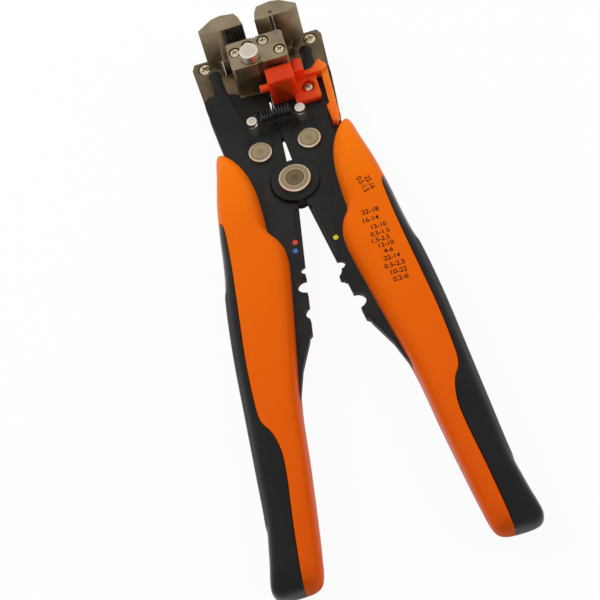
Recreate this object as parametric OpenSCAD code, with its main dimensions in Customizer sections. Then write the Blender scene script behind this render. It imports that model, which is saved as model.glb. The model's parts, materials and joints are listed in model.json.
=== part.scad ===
// Self-adjusting wire stripper, cutter and crimper with two opening jaws.
// X runs to the right, Y to the jaws and Z to the front; the tool lies on its back at Z = 0,
// with the main pivot on the Z axis. The left lever is the fixed one.

/* [Plates] */
// Thickness of the front plates
plate_t = 3; // [2.6:0.1:3.4]
// Height of the front plates' front face above the back of the tool
front_z = 12; // [11.6:0.1:12.4]
// Thickness of the rear plates
rear_t = 2; // [1.6:0.1:2.2]
// Height of the rear plates' back face
rear_z = 2.5; // [2.4:0.1:2.8]
// Half width of the head at its shoulders
head_half_w = 21.9; // [21.4:0.1:22.6]
// Height of the shoulders above the main pivot
shoulder_y = 41; // [40.6:0.1:41.4]
// Half of the gap along the seam between the two head halves
seam_gap = 0.2; // [0.15:0.05:0.3]
// Radius of the keyhole lug on top of each plate
lug_r = 2.2; // [1.9:0.1:2.4]

/* [Pivots] */
// Radius of the main pivot shank
pivot_r = 3; // [2.6:0.1:3.2]
// Radius of the main pivot's front head
pivot_head_r = 5.4; // [5:0.05:5.8]
// Radius of the lap discs round the main pivot
lap_r = 8; // [7.8:0.1:8.2]
// How far the right plate's lap disc stands proud of the front
lap_rise = 1; // [0.8:0.1:1.2]
// Radius of the lever pivots' front heads
lever_head_r = 4; // [3.6:0.1:4.2]
// Radius of the lever pivots' shanks
lever_pin_r = 2; // [1.7:0.1:2.2]
// Sideways place of the lever pivots
lever_pin_x = 8.4; // [8.2:0.1:8.6]
// Height of the lever pivots above the main pivot
lever_pin_y = 14.4; // [14.2:0.1:14.8]
// Radial running clearance of every pivot
run_gap = 0.05; // [0.03:0.01:0.08]

/* [Crimping edges] */
// Half angle between the crimping edges when the tool is open
die_angle = 8.6; // [8.4:0.1:9]
// Distance from the pivot to the far end of the crimping edges
die_end = 58; // [57:0.5:59]
// Distance from the pivot to the end of the cutting edges
cutter_end = 30.5; // [29:0.5:31]
// Width of the ground bevel of the cutting edges
cutter_bevel = 1.6; // [1.2:0.1:2]

/* [Jaws] */
// Width of each lower jaw block
block_w = 9.5; // [9:0.1:9.6]
// Height of the lower jaw blocks' underside
block_y = 39.6; // [39.2:0.1:40]
// Height of the lower jaw blocks' clamping face
block_top_y = 51; // [50.8:0.1:51.2]
// How far the lower jaw blocks stand in front of the plates
block_depth = 14.4; // [13:0.1:15]
// Width of each upper jaw
beak_w = 15; // [14:0.1:15.2]
// Height of the upper jaws' front lower edge when open
beak_y = 57.1; // [56.8:0.1:57.5]
// Height of the upper jaws' highest point in front
beak_top_y = 63.3; // [62.5:0.1:64]
// Height of the upper jaws' front face above the back of the tool
beak_z = 27; // [26:0.1:27.5]
// Angle through which the upper jaws close
beak_angle = 13.2; // [12.8:0.1:13.4]
// Height of the upper jaws' hinge above the main pivot
hinge_y = 49; // [48.8:0.1:49.2]
// Height of the upper jaws' hinge above the back of the tool
hinge_z = 5; // [4.9:0.05:5.1]
// Radius of the upper jaws' hinge pins
hinge_r = 1.25; // [1:0.05:1.4]

/* [Handles] */
// Length of each grip
grip_len = 156.7; // [150:0.1:164]
// Height of the grips' top ends above the main pivot
grip_top_y = 17.7; // [17.3:0.1:18.2]
// How far the outer corner of each grip stands outside the head
grip_spread = 19.1; // [18:0.1:21]
// Thickness of the grips
grip_t = 20; // [19.6:0.2:22]
// Length of each grip beyond the tip of the steel inside it
spine_cover = 21; // [17:1:27]

/* [Springs] */
// Wire diameter of the return spring
spring_wire = 0.7; // [0.6:0.05:0.8]
// Outer diameter of the return spring
spring_d = 4.6; // [4.2:0.1:5]
// Number of turns of the return spring
spring_turns = 8; // [6:1:8]
// Sideways place of the spring posts
post_x = 8.2; // [8.1:0.05:8.4]
// Height of the spring posts above the main pivot
post_y = 23.8; // [23.5:0.1:24.4]
// Radius of the spring posts
post_r = 1.75; // [1.5:0.05:1.9]

/* [Stop guard] */
// Width of the box of the stop guard
guard_box_w = 9.1; // [8.6:0.1:9.3]
// Height of the underside of the stop guard's box
guard_y = 32; // [31.8:0.1:32.4]
// Height of the stop guard's box
guard_box_h = 6.2; // [5.6:0.1:6.6]
// How far the stop guard's box stands in front of the plate
guard_depth = 12; // [11:0.1:13]
// Thickness of the stop guard's flange
guard_flange_t = 2.2; // [1.8:0.1:2.4]

/* [Adjuster] */
// Radius of the adjuster knob
knob_r = 3.1; // [2.7:0.1:3.2]
// Height of the adjuster knob
knob_h = 3.9; // [3.4:0.1:4.2]

/* [Hidden] */

left = 1;
right = -1;
fine = 96;
round_n = 48;

// Overrun of every cut past the face that it opens
cut = plate_t / 3;
// Gap between faces that pass each other without touching
pass_gap = 0.1;

plate_z = front_z - plate_t;
rear_top_z = rear_z + rear_t;
// Height of the ledge on which the jaw carriers stand
seat_y = block_y - lug_r / 2;
// Distance from the centre line to the outer corner of the grips
grip_reach = head_half_w + grip_spread;
// Distance from the main pivot to the tip of the steel inside the grips
spine_end = grip_len - grip_top_y - spine_cover;
// The half laps round the main pivot
lap_z = plate_z + plate_t / 2;
rear_lap_z = rear_z + rear_t / 2;
lap_front_z = front_z + lap_rise;
lap_pocket_r = lap_r + 4 * pass_gap;
// The rear laps are cut off straight this far below the pivot, so that the gap stays open
rear_lap_end = pivot_r * 1.35;
// The rear plates part wider than the seam from here up
rear_gap_y = lap_r * 1.7;
rear_gap = lug_r * 0.75;
pivot_head_h = plate_t / 2;
pivot_rear_r = pivot_head_r * 0.67;

// The cam levers and the pins that drive them
lever_t = plate_t * 2 / 3;
lever_z = hinge_z + 1.6 * hinge_r - 4 * pass_gap;
lever_head_h = plate_t / 2;
lever_collar_r = lever_pin_r * 1.6;
drive_pin_r = lever_pin_r * 0.55;
drive_pin_at = lap_r * 0.5625;
fork_gap = 1.5 * pass_gap;
fork_wall = drive_pin_r * 1.35;
// How far the drive pin runs up the fork as the tool closes
fork_slide = drive_pin_r * 0.4;

// The lower jaw blocks
block_front_z = front_z + block_depth;
block_chamfer = block_w * 0.08;
jaw_screw_r = block_w * 0.185;
screw_seat_r = jaw_screw_r + 3 * pass_gap;
screw_head_h = jaw_screw_r * 0.65;
tooth_pitch = block_w / 12;
tooth_h = tooth_pitch * 0.6;

// The knuckles of the upper jaws
knuckle_r = 2.4 * hinge_r;

// The jaw carriers
wall_top_y = block_top_y - lug_r * 0.45;
ear_top_y = hinge_y + 3 * knuckle_r;
ear_x = head_half_w * 0.58;
carrier_x = head_half_w + plate_t / 3;
inner_ear_t = plate_t * 0.6;
carrier_screw_r = lug_r;
carrier_screw_x = head_half_w * 0.85;
carrier_screw_y = ear_top_y - 1.4 * lug_r;

// The upper jaws and their hinges
beak_x = seam_gap + inner_ear_t + pass_gap;
arm_x = beak_x + pass_gap * 2;
arm_end_x = ear_x - plate_t / 5;
knuckle_end_x = arm_end_x - 2.4 * knuckle_r / 3;
beak_slope = tan(beak_angle);
throat_z = front_z + plate_t * 0.8;
insert_t = plate_t * 0.3;
insert_proud = plate_t / 6;
teeth_w = beak_w * 0.46;

// The heel of each upper jaw, which the cam lever pushes back
heel_t = lever_t * 1.2;
heel_front_z = lever_z - 3 * pass_gap;
heel_top_y = hinge_y - 2 * knuckle_r + 0.2 * hinge_r;
heel_end_y = heel_top_y - lever_t * 1.1;
tip_x = drive_pin_at;
tip_half_w = lever_t;
ramp_x = tip_x + tip_half_w + 3 * pass_gap;
ramp_run = (arm_end_x - ramp_x) * 0.9;
ramp_rise = ramp_run * 0.3;

spring_wire_r = spring_wire / 2;
spring_mean_r = spring_d / 2 - spring_wire_r;
groove_depth = post_r * 0.2;
post_top_z = front_z + post_r * 3.6;
groove_z = post_top_z - spring_wire * 1.6;
// The coil lies above the line of the posts
coil_y = post_y + spring_d * 0.3;

jaw_wire_r = hinge_r * 0.2;
jaw_spring_r = hinge_r + jaw_wire_r * 2.2;
jaw_spring_turns = 2;

guard_clear = pass_gap / 2;
guard_z = front_z + guard_clear;
guard_x = 2 * seam_gap;
guard_wall = guard_flange_t * 0.75;
guard_strip_x = head_half_w * 0.82;
guard_screw_x = guard_x + guard_box_w + (guard_strip_x - guard_x - guard_box_w) * 0.425;
guard_screw_y = guard_y + guard_flange_t;
guard_screw_r = jaw_screw_r;

// Copies of a left-hand shape: side is left or right
module on_side(side) {
    if (side == left) children();
    else mirror([1, 0, 0]) children();
}

// Points of an arc about [cx, cy] from angle a0 to angle a1
function arc(cx, cy, r, a0, a1, n = 8) =
    [for (i = [0 : n]) let (a = a0 + (a1 - a0) * i / n) [cx + r * cos(a), cy + r * sin(a)]];

// Smooth curve through the rows of a table: t counts rows, and every column is blended
function smooth_row(rows, t) =
    let (
        n = len(rows) - 1,
        i = min(floor(t), n - 1),
        u = t - i,
        p0 = rows[max(i - 1, 0)],
        p1 = rows[i],
        p2 = rows[i + 1],
        p3 = rows[min(i + 2, n)]
    )
    [for (k = [0 : len(p1) - 1])
        p1[k] + u / 2 * (p2[k] - p0[k]
            + u * (2 * p0[k] - 5 * p1[k] + 4 * p2[k] - p3[k]
            + u * (3 * (p1[k] - p2[k]) + p3[k] - p0[k])))];

function smooth_curve(rows, steps) =
    let (n = len(rows) - 1)
    [for (i = [0 : n * steps]) smooth_row(rows, i / steps)];

// Place on the left lever given along and across the crimping edge, as it lies when open
function on_edge(along, across) = [
    -along * sin(die_angle) - across * cos(die_angle),
    -along * cos(die_angle) + across * sin(die_angle)
];

// Brings a shape drawn along the closed crimping edge to its open place
module at_edge() {
    rotate([0, 0, -die_angle]) children();
}

// The steel plates

// The handle's steel inside the grip: share of the way from the crimping edges' end to the
// tip, then the inner and the outer side as shares of the grips' reach
spine_shares = [
    [0, 0.245, 0.53],
    [0.076, 0.3, 0.555],
    [0.154, 0.355, 0.575],
    [0.331, 0.44, 0.61],
    [0.725, 0.52, 0.67],
    [0.941, 0.585, 0.695],
    [1, 0.62, 0.66]
];

function spine_drop(share) = die_end + share * (spine_end - die_end);

// Outer edge of the head and of the steel under the top of the grip
spine_outer_shares = [
    [0.33, 0.93],
    [-0.18, 0.49],
    [-0.34, 0.5],
    [-0.5, 0.52]
];

function head_outer() = [
    [-head_half_w, shoulder_y],
    [-head_half_w - seam_gap / 2, shoulder_y - lug_r],
    [-head_half_w * 0.955, shoulder_y * 0.66],
    [-head_half_w * 0.92, shoulder_y * 0.44],
    [-head_half_w * 0.93, shoulder_y * 0.1]
];

function lug_top() = [-head_half_w * 0.723, shoulder_y + 4.4 * lug_r];

// Top edge of the front plate, with the keyhole lug that locks the jaw carrier
module lug(clear = 0) {
    top = lug_top();
    translate(top) circle(r = lug_r + clear, $fn = round_n);
    polygon([
        [top[0] - lug_r * 0.75 - clear, top[1]],
        [top[0] - lug_r * 0.85 - clear, shoulder_y + lug_r],
        [top[0] - lug_r * 1.9 - clear, shoulder_y + lug_r * 0.6],
        [top[0] - lug_r * 1.9 - clear, shoulder_y - lug_r],
        [top[0] + lug_r * 1.7 + clear, shoulder_y - lug_r],
        [top[0] + lug_r + clear, shoulder_y + lug_r * 0.9],
        [top[0] + lug_r * 0.75 + clear, top[1]]
    ]);
}

module plate_top() {
    difference() {
        polygon([
            [-seam_gap, lap_r / 2],
            [-seam_gap, seat_y],
            [-block_w - pass_gap, seat_y],
            [-block_w - pass_gap, block_y + lug_r / 4],
            [-block_w - lug_r, shoulder_y + lug_r / 4],
            [-head_half_w + lug_r, shoulder_y + lug_r],
            each head_outer(),
            [-lap_r, -lap_r]
        ]);
        // The open slot above the pivot
        seam_slot();
    }
    lug();
}

module seam_slot() {
    slot_top_r = lug_r / 5;
    hull() {
        translate([0, lever_pin_y + lever_head_r - slot_top_r]) circle(r = slot_top_r, $fn = 24);
        translate([0, lap_r * 0.9]) circle(r = slot_top_r * 2.5, $fn = 24);
    }
}

module handle_steel() {
    polygon([
        on_edge(lap_r / 2, seam_gap),
        on_edge(die_end - 0.02 * die_end, seam_gap),
        on_edge(die_end, seam_gap + pass_gap * 10),
        for (r = spine_shares) [-r[1] * grip_reach, -spine_drop(r[0])],
        for (i = [len(spine_shares) - 1 : -1 : 0])
            [-spine_shares[i][2] * grip_reach, -spine_drop(spine_shares[i][0])],
        [-spine_outer_shares[3][1] * grip_reach, spine_outer_shares[3][0] * grip_reach],
        [-spine_outer_shares[2][1] * grip_reach, spine_outer_shares[2][0] * grip_reach],
        [-spine_outer_shares[1][1] * grip_reach, spine_outer_shares[1][0] * grip_reach],
        [-head_half_w * 0.93, shoulder_y * 0.1],
        [-lap_r, lap_r]
    ]);
}

// Crimping nests as rows of: distance from the pivot, centre in from the edge, radius,
// all as shares of the die end
left_nest_shares = [[0.579, -0.002, 0.032], [0.683, 0.011, 0.045], [0.852, -0.022, 0.05]];
right_nest_shares = [[0.61, 0.005, 0.035], [0.862, 0.0, 0.054]];
// The indenting tooth of the right plate: distance, height, half width
tooth_shares = [0.69, 0.026, 0.031];

module nests(rows) {
    for (r = rows)
        translate([-r[1] * die_end, -r[0] * die_end])
            circle(r = r[2] * die_end, $fn = round_n);
}

// The indenting tooth, drawn on the left of its edge and pointing across it
module indenter() {
    tip_r = tooth_shares[1] * die_end / 2;
    translate([0, -tooth_shares[0] * die_end]) {
        polygon([
            [-tip_r, -tooth_shares[2] * die_end],
            [0, -tooth_shares[2] * die_end],
            [tip_r, -tip_r],
            [tip_r, tip_r],
            [0, tooth_shares[2] * die_end],
            [-tip_r, tooth_shares[2] * die_end]
        ]);
        translate([tip_r, 0]) circle(r = tip_r, $fn = round_n);
    }
}

// Bevel ground on the front of the cutting edge, which leaves it sharp at the back
module cutter_grind() {
    depth = plate_t * 0.8;
    translate([0, -lap_r * 1.35, front_z])
        rotate([90, 0, 0])
            linear_extrude(cutter_end - lap_r * 1.35)
                polygon([
                    [-cutter_bevel, cut],
                    [-cutter_bevel, 0],
                    [0, -depth],
                    [cut, -depth],
                    [cut, cut]
                ]);
}

// The gap under the jaw blocks and the small hole below the spring
module sight_gap() {
    translate([-lug_r * 0.42, guard_y - lug_r * 0.8]) square([lug_r, guard_box_h * 0.9]);
    translate([-lug_r * 0.4, post_y + lug_r * 0.35]) circle(r = lug_r / 5, $fn = round_n);
}

// Whole plan of a front plate, on the left
module plate_plan(side) {
    difference() {
        union() {
            plate_top();
            handle_steel();
            if (side == right) at_edge() indenter();
        }
        at_edge() nests(side == left ? left_nest_shares : right_nest_shares);
        if (side == left) sight_gap();
        // Keeps the two halves apart at the seam
        translate([-seam_gap, 0]) square([lap_r, shoulder_y]);
    }
}

module lap_disc(r, z0, z1) {
    translate([0, 0, z0]) cylinder(r = r, h = z1 - z0, $fn = fine);
}

module front_plate(side) {
    pin_at = drive_pin_at;
    low = side == left ? plate_z : lap_z + pass_gap / 2;
    high = side == left ? lap_z - pass_gap / 2 : lap_front_z;
    difference() {
        union() {
            difference() {
                translate([0, 0, plate_z]) linear_extrude(plate_t) plate_plan(side);
                // The half of the thickness that the other plate's disc needs
                if (side == left) lap_disc(lap_pocket_r, lap_z - pass_gap / 2, front_z + cut);
                else lap_disc(lap_pocket_r, plate_z - cut, lap_z + pass_gap / 2);
                at_edge() cutter_grind();
            }
            lap_disc(lap_r, low, high);
        }
        lap_disc(pivot_r + (side == left ? 0 : run_gap), plate_z - cut, lap_front_z + cut);
        translate([-lever_pin_x, lever_pin_y, plate_z - cut])
            cylinder(r = lever_pin_r, h = plate_t + 2 * cut, $fn = round_n);
        translate([-post_x, post_y, plate_z - cut])
            cylinder(r = post_r * 0.7, h = plate_t + 2 * cut, $fn = round_n);
        if (side == left)
            translate([pin_at, pin_at, plate_z - cut])
                cylinder(r = drive_pin_r, h = plate_t, $fn = round_n);
        if (side == right)
            translate([-guard_screw_x, guard_screw_y, plate_z - cut])
                cylinder(r = guard_screw_r * 0.6, h = plate_t + 2 * cut, $fn = round_n);
    }
}

module rear_plan() {
    difference() {
        polygon([
            [-seam_gap, -lap_r / 2],
            [-seam_gap, rear_gap_y],
            [-rear_gap, rear_gap_y],
            [-rear_gap, block_y - lug_r],
            [-ear_x - pass_gap, block_y - lug_r],
            [-ear_x - pass_gap, hinge_y - 1.6 * knuckle_r],
            [-head_half_w, hinge_y - 1.6 * knuckle_r],
            each head_outer(),
            [-head_half_w * 0.93, -lap_r],
            each arc(-head_half_w * 0.78, -lap_r * 1.6, head_half_w * 0.15, 180, 320),
            [-lap_r * 1.2, -lap_r * 0.9]
        ]);
        seam_slot();
        translate([-seam_gap, 0]) square([lap_r, shoulder_y]);
        translate([-cut, -lap_r]) square([lap_r * 2, lap_r]);
    }
}

module rear_plate(side) {
    low = side == left ? rear_z : rear_lap_z + pass_gap / 2;
    high = side == left ? rear_lap_z - pass_gap / 2 : rear_top_z;
    pin_at = drive_pin_at;
    difference() {
        union() {
            difference() {
                translate([0, 0, rear_z]) linear_extrude(rear_t) rear_plan();
                if (side == left) lap_disc(lap_pocket_r, rear_lap_z - pass_gap / 2, front_z);
                else lap_disc(lap_pocket_r, 0, rear_lap_z + pass_gap / 2);
            }
            difference() {
                lap_disc(lap_r, low, high);
                translate([-lap_r, -rear_lap_end - lap_r, 0]) cube([2 * lap_r, lap_r, front_z]);
            }
        }
        lap_disc(pivot_r + (side == left ? 0 : run_gap), 0, front_z);
        translate([-lever_pin_x, lever_pin_y, 0])
            cylinder(r = lever_pin_r, h = front_z, $fn = round_n);
        if (side == right)
            translate([pin_at, pin_at, 0])
                cylinder(r = drive_pin_r, h = front_z, $fn = round_n);
    }
}

module left_plate() {
    color("#2b2b2b") front_plate(left);
}

module right_plate() {
    color("#2b2b2b") on_side(right) front_plate(right);
}

module left_rear_plate() {
    color("#262626") rear_plate(left);
}

module right_rear_plate() {
    color("#262626") on_side(right) rear_plate(right);
}

// Pivots and pins

// Turned head with a soft edge and shallow rings on its face
module turned_head(r, h) {
    edge = h * 0.3;
    ring = h * 0.08;
    rotate_extrude($fn = fine)
        polygon([
            [0, 0],
            [r, 0],
            each arc(r - edge, h - edge, edge, 0, 90, 4),
            [r * 0.8, h],
            [r * 0.74, h - ring],
            [r * 0.66, h - ring],
            [r * 0.6, h],
            [r * 0.4, h],
            [r * 0.34, h - ring],
            [r * 0.26, h - ring],
            [r * 0.2, h],
            [0, h]
        ]);
}

module main_pivot() {
    color("#b9b2a4") {
        translate([0, 0, lap_front_z]) turned_head(pivot_head_r, pivot_head_h);
        translate([0, 0, rear_z]) cylinder(r = pivot_r, h = lap_front_z - rear_z, $fn = fine);
        cylinder(r1 = pivot_rear_r * 0.85, r2 = pivot_rear_r, h = rear_z, $fn = fine);
    }
}

// Shouldered rivet that carries a cam lever between the plates
module lever_pin() {
    translate([-lever_pin_x, lever_pin_y, 0]) {
        translate([0, 0, front_z]) turned_head(lever_head_r, lever_head_h);
        translate([0, 0, rear_z]) cylinder(r = lever_pin_r, h = front_z - rear_z, $fn = round_n);
        translate([0, 0, rear_top_z])
            cylinder(r = lever_collar_r, h = lever_z - rear_top_z - pass_gap, $fn = round_n);
        translate([0, 0, rear_z - rear_t * 0.6])
            cylinder(r = lever_head_r * 0.85, h = rear_t * 0.6, $fn = round_n);
    }
}

module left_lever_pin() {
    color("#b9b2a4") lever_pin();
}

module right_lever_pin() {
    color("#b9b2a4") on_side(right) lever_pin();
}

// The pin on each half that swings the other half's cam lever
module left_drive_pin() {
    low = lever_z - lever_t / 2;
    color("#8d8d8d")
        translate([drive_pin_at, drive_pin_at, low])
            cylinder(r = drive_pin_r, h = lap_z - pass_gap / 2 - low, $fn = round_n);
}

module right_drive_pin() {
    low = rear_lap_z + pass_gap / 2;
    color("#8d8d8d")
        translate([-drive_pin_at, drive_pin_at, low])
            cylinder(r = drive_pin_r, h = lever_z + lever_t - low, $fn = round_n);
}

module hinge_pin() {
    translate([-carrier_x + pass_gap * 10, hinge_y, hinge_z])
        rotate([0, 90, 0])
            cylinder(r = hinge_r, h = carrier_x - pass_gap * 10 - seam_gap - pass_gap,
                     $fn = round_n);
}

module left_hinge_pin() {
    color("#9a9a9a") hinge_pin();
}

module right_hinge_pin() {
    color("#9a9a9a") on_side(right) hinge_pin();
}

// Grooved post that holds an end of the return spring
module spring_post() {
    translate([-post_x, post_y, 0])
        rotate_extrude($fn = round_n)
            polygon([
                [0, plate_z],
                [post_r * 0.7, plate_z],
                [post_r * 0.7, front_z],
                [post_r, front_z],
                [post_r, groove_z - spring_wire],
                [post_r - groove_depth, groove_z - spring_wire_r],
                [post_r - groove_depth, groove_z + spring_wire_r],
                [post_r, groove_z + spring_wire],
                [post_r, post_top_z - groove_depth],
                [post_r - groove_depth, post_top_z],
                [0, post_top_z]
            ]);
}

module left_spring_post() {
    color("#c9c6bf") spring_post();
}

module right_spring_post() {
    color("#c9c6bf") on_side(right) spring_post();
}

// Cam levers

module cam_lever() {
    pin = [-lever_pin_x, lever_pin_y];
    drive = [-drive_pin_at, drive_pin_at];
    reach = norm(drive - pin);
    lean = atan2(drive[0] - pin[0], pin[1] - drive[1]);
    boss_r = lever_pin_r * 1.9;
    fork_w = drive_pin_r + fork_gap + fork_wall;
    tip = [-tip_x, heel_top_y];
    difference() {
        union() {
            translate([pin[0], pin[1], lever_z])
                cylinder(r = boss_r, h = lever_t, $fn = round_n);
            // Lower arm with the fork, tapered from the boss
            translate([pin[0], pin[1], lever_z]) rotate([0, 0, lean]) linear_extrude(lever_t)
                polygon([
                    [-boss_r * 0.9, 0],
                    [-fork_w, -reach + drive_pin_r],
                    [-fork_w, -reach - drive_pin_r * 1.2],
                    [fork_w, -reach - drive_pin_r * 1.2],
                    [fork_w, -reach + drive_pin_r],
                    [boss_r * 0.9, 0]
                ]);
            // Upper arm that carries the wedge
            translate([0, 0, lever_z]) linear_extrude(lever_t)
                polygon([
                    [pin[0] - boss_r * 0.8, pin[1] - boss_r * 0.1],
                    [tip[0] - tip_half_w, tip[1] - 2 * lever_t],
                    [tip[0] - tip_half_w, tip[1]],
                    [tip[0] + tip_half_w, tip[1]],
                    [tip[0] + tip_half_w, tip[1] - 2 * lever_t],
                    [pin[0] + boss_r * 0.8, pin[1] - boss_r * 0.1]
                ]);
        }
        translate([pin[0], pin[1], 0])
            cylinder(r = lever_pin_r + run_gap, h = front_z, $fn = round_n);
        // Open slot of the fork
        translate([pin[0], pin[1], 0]) rotate([0, 0, lean])
            translate([0, -reach + fork_slide, 0]) {
                cylinder(r = drive_pin_r + fork_gap, h = front_z, $fn = round_n);
                translate([-drive_pin_r - fork_gap, -drive_pin_r * 4, 0])
                    cube([2 * (drive_pin_r + fork_gap), drive_pin_r * 4, front_z]);
            }
        // Wedge on the leading edge of the tip
        translate([tip[0] - tip_half_w, tip[1] + cut, lever_z])
            rotate([90, 0, 0])
                linear_extrude(2 * lever_t)
                    polygon([[-cut, -cut], [lever_t, -cut], [lever_t, 0], [0, lever_t * 0.3],
                             [-cut, lever_t * 0.6]]);
    }
}

module left_cam_lever() {
    color("#6f6c66") cam_lever();
}

module right_cam_lever() {
    color("#6f6c66") on_side(right) cam_lever();
}

// Jaw carriers

module carrier_front_plan() {
    difference() {
        polygon([
            [-seam_gap, seat_y],
            [-seam_gap, wall_top_y],
            [-ear_x, wall_top_y],
            [-ear_x, ear_top_y - lug_r / 2],
            [-ear_x - lug_r / 2, ear_top_y],
            [-carrier_x + lug_r / 2, ear_top_y],
            [-carrier_x, ear_top_y - lug_r],
            [-head_half_w - seam_gap / 2, shoulder_y + lug_r / 2],
            [-head_half_w, shoulder_y - lug_r],
            [-block_w, shoulder_y - lug_r]
        ]);
        plate_top();
    }
}

module jaw_carrier(side) {
    difference() {
        union() {
            translate([0, 0, plate_z]) linear_extrude(plate_t) carrier_front_plan();
            // Outer ear, stepped onto the rear plate
            translate([-carrier_x + pass_gap * 10, shoulder_y + lug_r, rear_top_z])
                cube([carrier_x - pass_gap * 10 - ear_x, ear_top_y - shoulder_y - lug_r * 2,
                      plate_z - rear_top_z]);
            translate([-carrier_x + pass_gap * 10, hinge_y - 1.6 * knuckle_r, rear_z])
                cube([carrier_x - pass_gap * 10 - ear_x,
                      ear_top_y - lug_r - hinge_y + 1.6 * knuckle_r, rear_t]);
            // Inner ear beside the seam
            translate([-seam_gap - inner_ear_t, hinge_y - 1.3 * knuckle_r, hinge_z - 0.8 * knuckle_r])
                cube([inner_ear_t, wall_top_y - hinge_y + 1.3 * knuckle_r,
                      plate_z - hinge_z + 0.8 * knuckle_r]);
        }
        translate([-carrier_x, hinge_y, hinge_z])
            rotate([0, 90, 0]) cylinder(r = hinge_r, h = carrier_x + cut, $fn = round_n);
        translate([-carrier_screw_x, carrier_screw_y, front_z - screw_head_h])
            cylinder(r = carrier_screw_r + pass_gap, h = plate_t, $fn = round_n);
        translate([-carrier_screw_x, carrier_screw_y, plate_z - cut])
            cylinder(r = carrier_screw_r * 0.55, h = plate_t, $fn = round_n);
        for (p = screw_shares(side))
            translate([-p[0] * block_w, block_y + p[1] * (block_top_y - block_y), plate_z - cut])
                cylinder(r = jaw_screw_r * 0.55, h = plate_t + 2 * cut, $fn = round_n);
    }
}

module left_jaw_carrier() {
    color("#9a9285") jaw_carrier(left);
}

module right_jaw_carrier() {
    color("#9a9285") on_side(right) jaw_carrier(right);
}

// Screw with a low domed head and a crossed recess, standing along Z with its seat at zero
module cross_screw(r, head_h, length) {
    recess = head_h * 0.5;
    difference() {
        union() {
            rotate_extrude($fn = round_n)
                polygon([
                    [0, 0],
                    [r, 0],
                    [r, head_h * 0.5],
                    [r * 0.7, head_h * 0.9],
                    [0, head_h]
                ]);
            translate([0, 0, -length]) cylinder(r = r * 0.55, h = length, $fn = round_n);
        }
        for (a = [0, 90])
            rotate([0, 0, a])
                translate([-r * 0.55, -r * 0.12, head_h - recess])
                    cube([r * 1.1, r * 0.24, head_h]);
    }
}

module carrier_screw() {
    translate([-carrier_screw_x, carrier_screw_y, front_z - screw_head_h])
        cross_screw(carrier_screw_r, screw_head_h, plate_t - screw_head_h);
}

module left_carrier_screw() {
    color("#b5b1a8") carrier_screw();
}

module right_carrier_screw() {
    color("#b5b1a8") on_side(right) carrier_screw();
}

// Lower jaws

// Places of the screws as shares across and up each block
left_screw_shares = [[0.765, 0.63], [0.28, 0.75]];
right_screw_shares = [[0.77, 0.305], [0.295, 0.78]];
knob_place_shares = [0.285, 0.29];

function screw_shares(side) = side == left ? left_screw_shares : right_screw_shares;

module block_plan() {
    polygon([
        [-seam_gap - block_chamfer, block_y],
        [-seam_gap, block_y + block_chamfer],
        [-seam_gap, block_top_y - block_chamfer],
        [-seam_gap - block_chamfer, block_top_y],
        [-seam_gap - block_w + block_chamfer, block_top_y],
        [-seam_gap - block_w, block_top_y - block_chamfer],
        [-seam_gap - block_w, block_y + block_chamfer],
        [-seam_gap - block_w + block_chamfer, block_y]
    ]);
}

module lower_jaw(side) {
    difference() {
        translate([0, 0, front_z]) linear_extrude(block_depth) block_plan();
        for (p = screw_shares(side))
            translate([-p[0] * block_w, block_y + p[1] * (block_top_y - block_y), 0]) {
                translate([0, 0, block_front_z - screw_head_h])
                    cylinder(r = screw_seat_r, h = block_depth, $fn = round_n);
                cylinder(r = jaw_screw_r * 0.55, h = block_front_z, $fn = round_n);
            }
        if (side == left) {
            // Cross grooves that grip the insulation, and the adjuster's bore
            for (i = [1 : 10])
                translate([-seam_gap - i * tooth_pitch - tooth_pitch / 2, block_top_y,
                           front_z - cut])
                    linear_extrude(block_depth + 2 * cut)
                        polygon([[-tooth_pitch / 2, cut], [0, -tooth_h], [tooth_pitch / 2, cut]]);
            translate([-knob_place_shares[0] * block_w,
                       block_y + knob_place_shares[1] * (block_top_y - block_y),
                       block_front_z - knob_h * 2])
                cylinder(r = knob_r * 0.5 + run_gap, h = knob_h * 3, $fn = round_n);
        } else {
            blade_slot_lower();
        }
    }
}

module left_lower_jaw() {
    color("#9a9285") lower_jaw(left);
}

module right_lower_jaw() {
    color("#9a9285") on_side(right) lower_jaw(right);
}

module jaw_screws(side) {
    for (p = screw_shares(side))
        translate([-p[0] * block_w, block_y + p[1] * (block_top_y - block_y),
                   block_front_z - screw_head_h])
            cross_screw(jaw_screw_r, screw_head_h, block_front_z - screw_head_h - plate_z);
}

module left_jaw_screws() {
    color("#cfc6ac") jaw_screws(left);
}

module right_jaw_screws() {
    color("#cfc6ac") on_side(right) jaw_screws(right);
}

module adjuster_knob() {
    color("#c9c6bf")
        translate([-knob_place_shares[0] * block_w,
                   block_y + knob_place_shares[1] * (block_top_y - block_y), block_front_z]) {
            rotate_extrude($fn = round_n)
                polygon([
                    [0, -knob_h * 1.8],
                    [knob_r * 0.5, -knob_h * 1.8],
                    [knob_r * 0.5, pass_gap],
                    [knob_r * 0.85, pass_gap],
                    [knob_r, knob_h * 0.15],
                    [knob_r, knob_h * 0.88],
                    [knob_r * 0.9, knob_h],
                    [0, knob_h]
                ]);
        }
}

// Upper jaws

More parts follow.
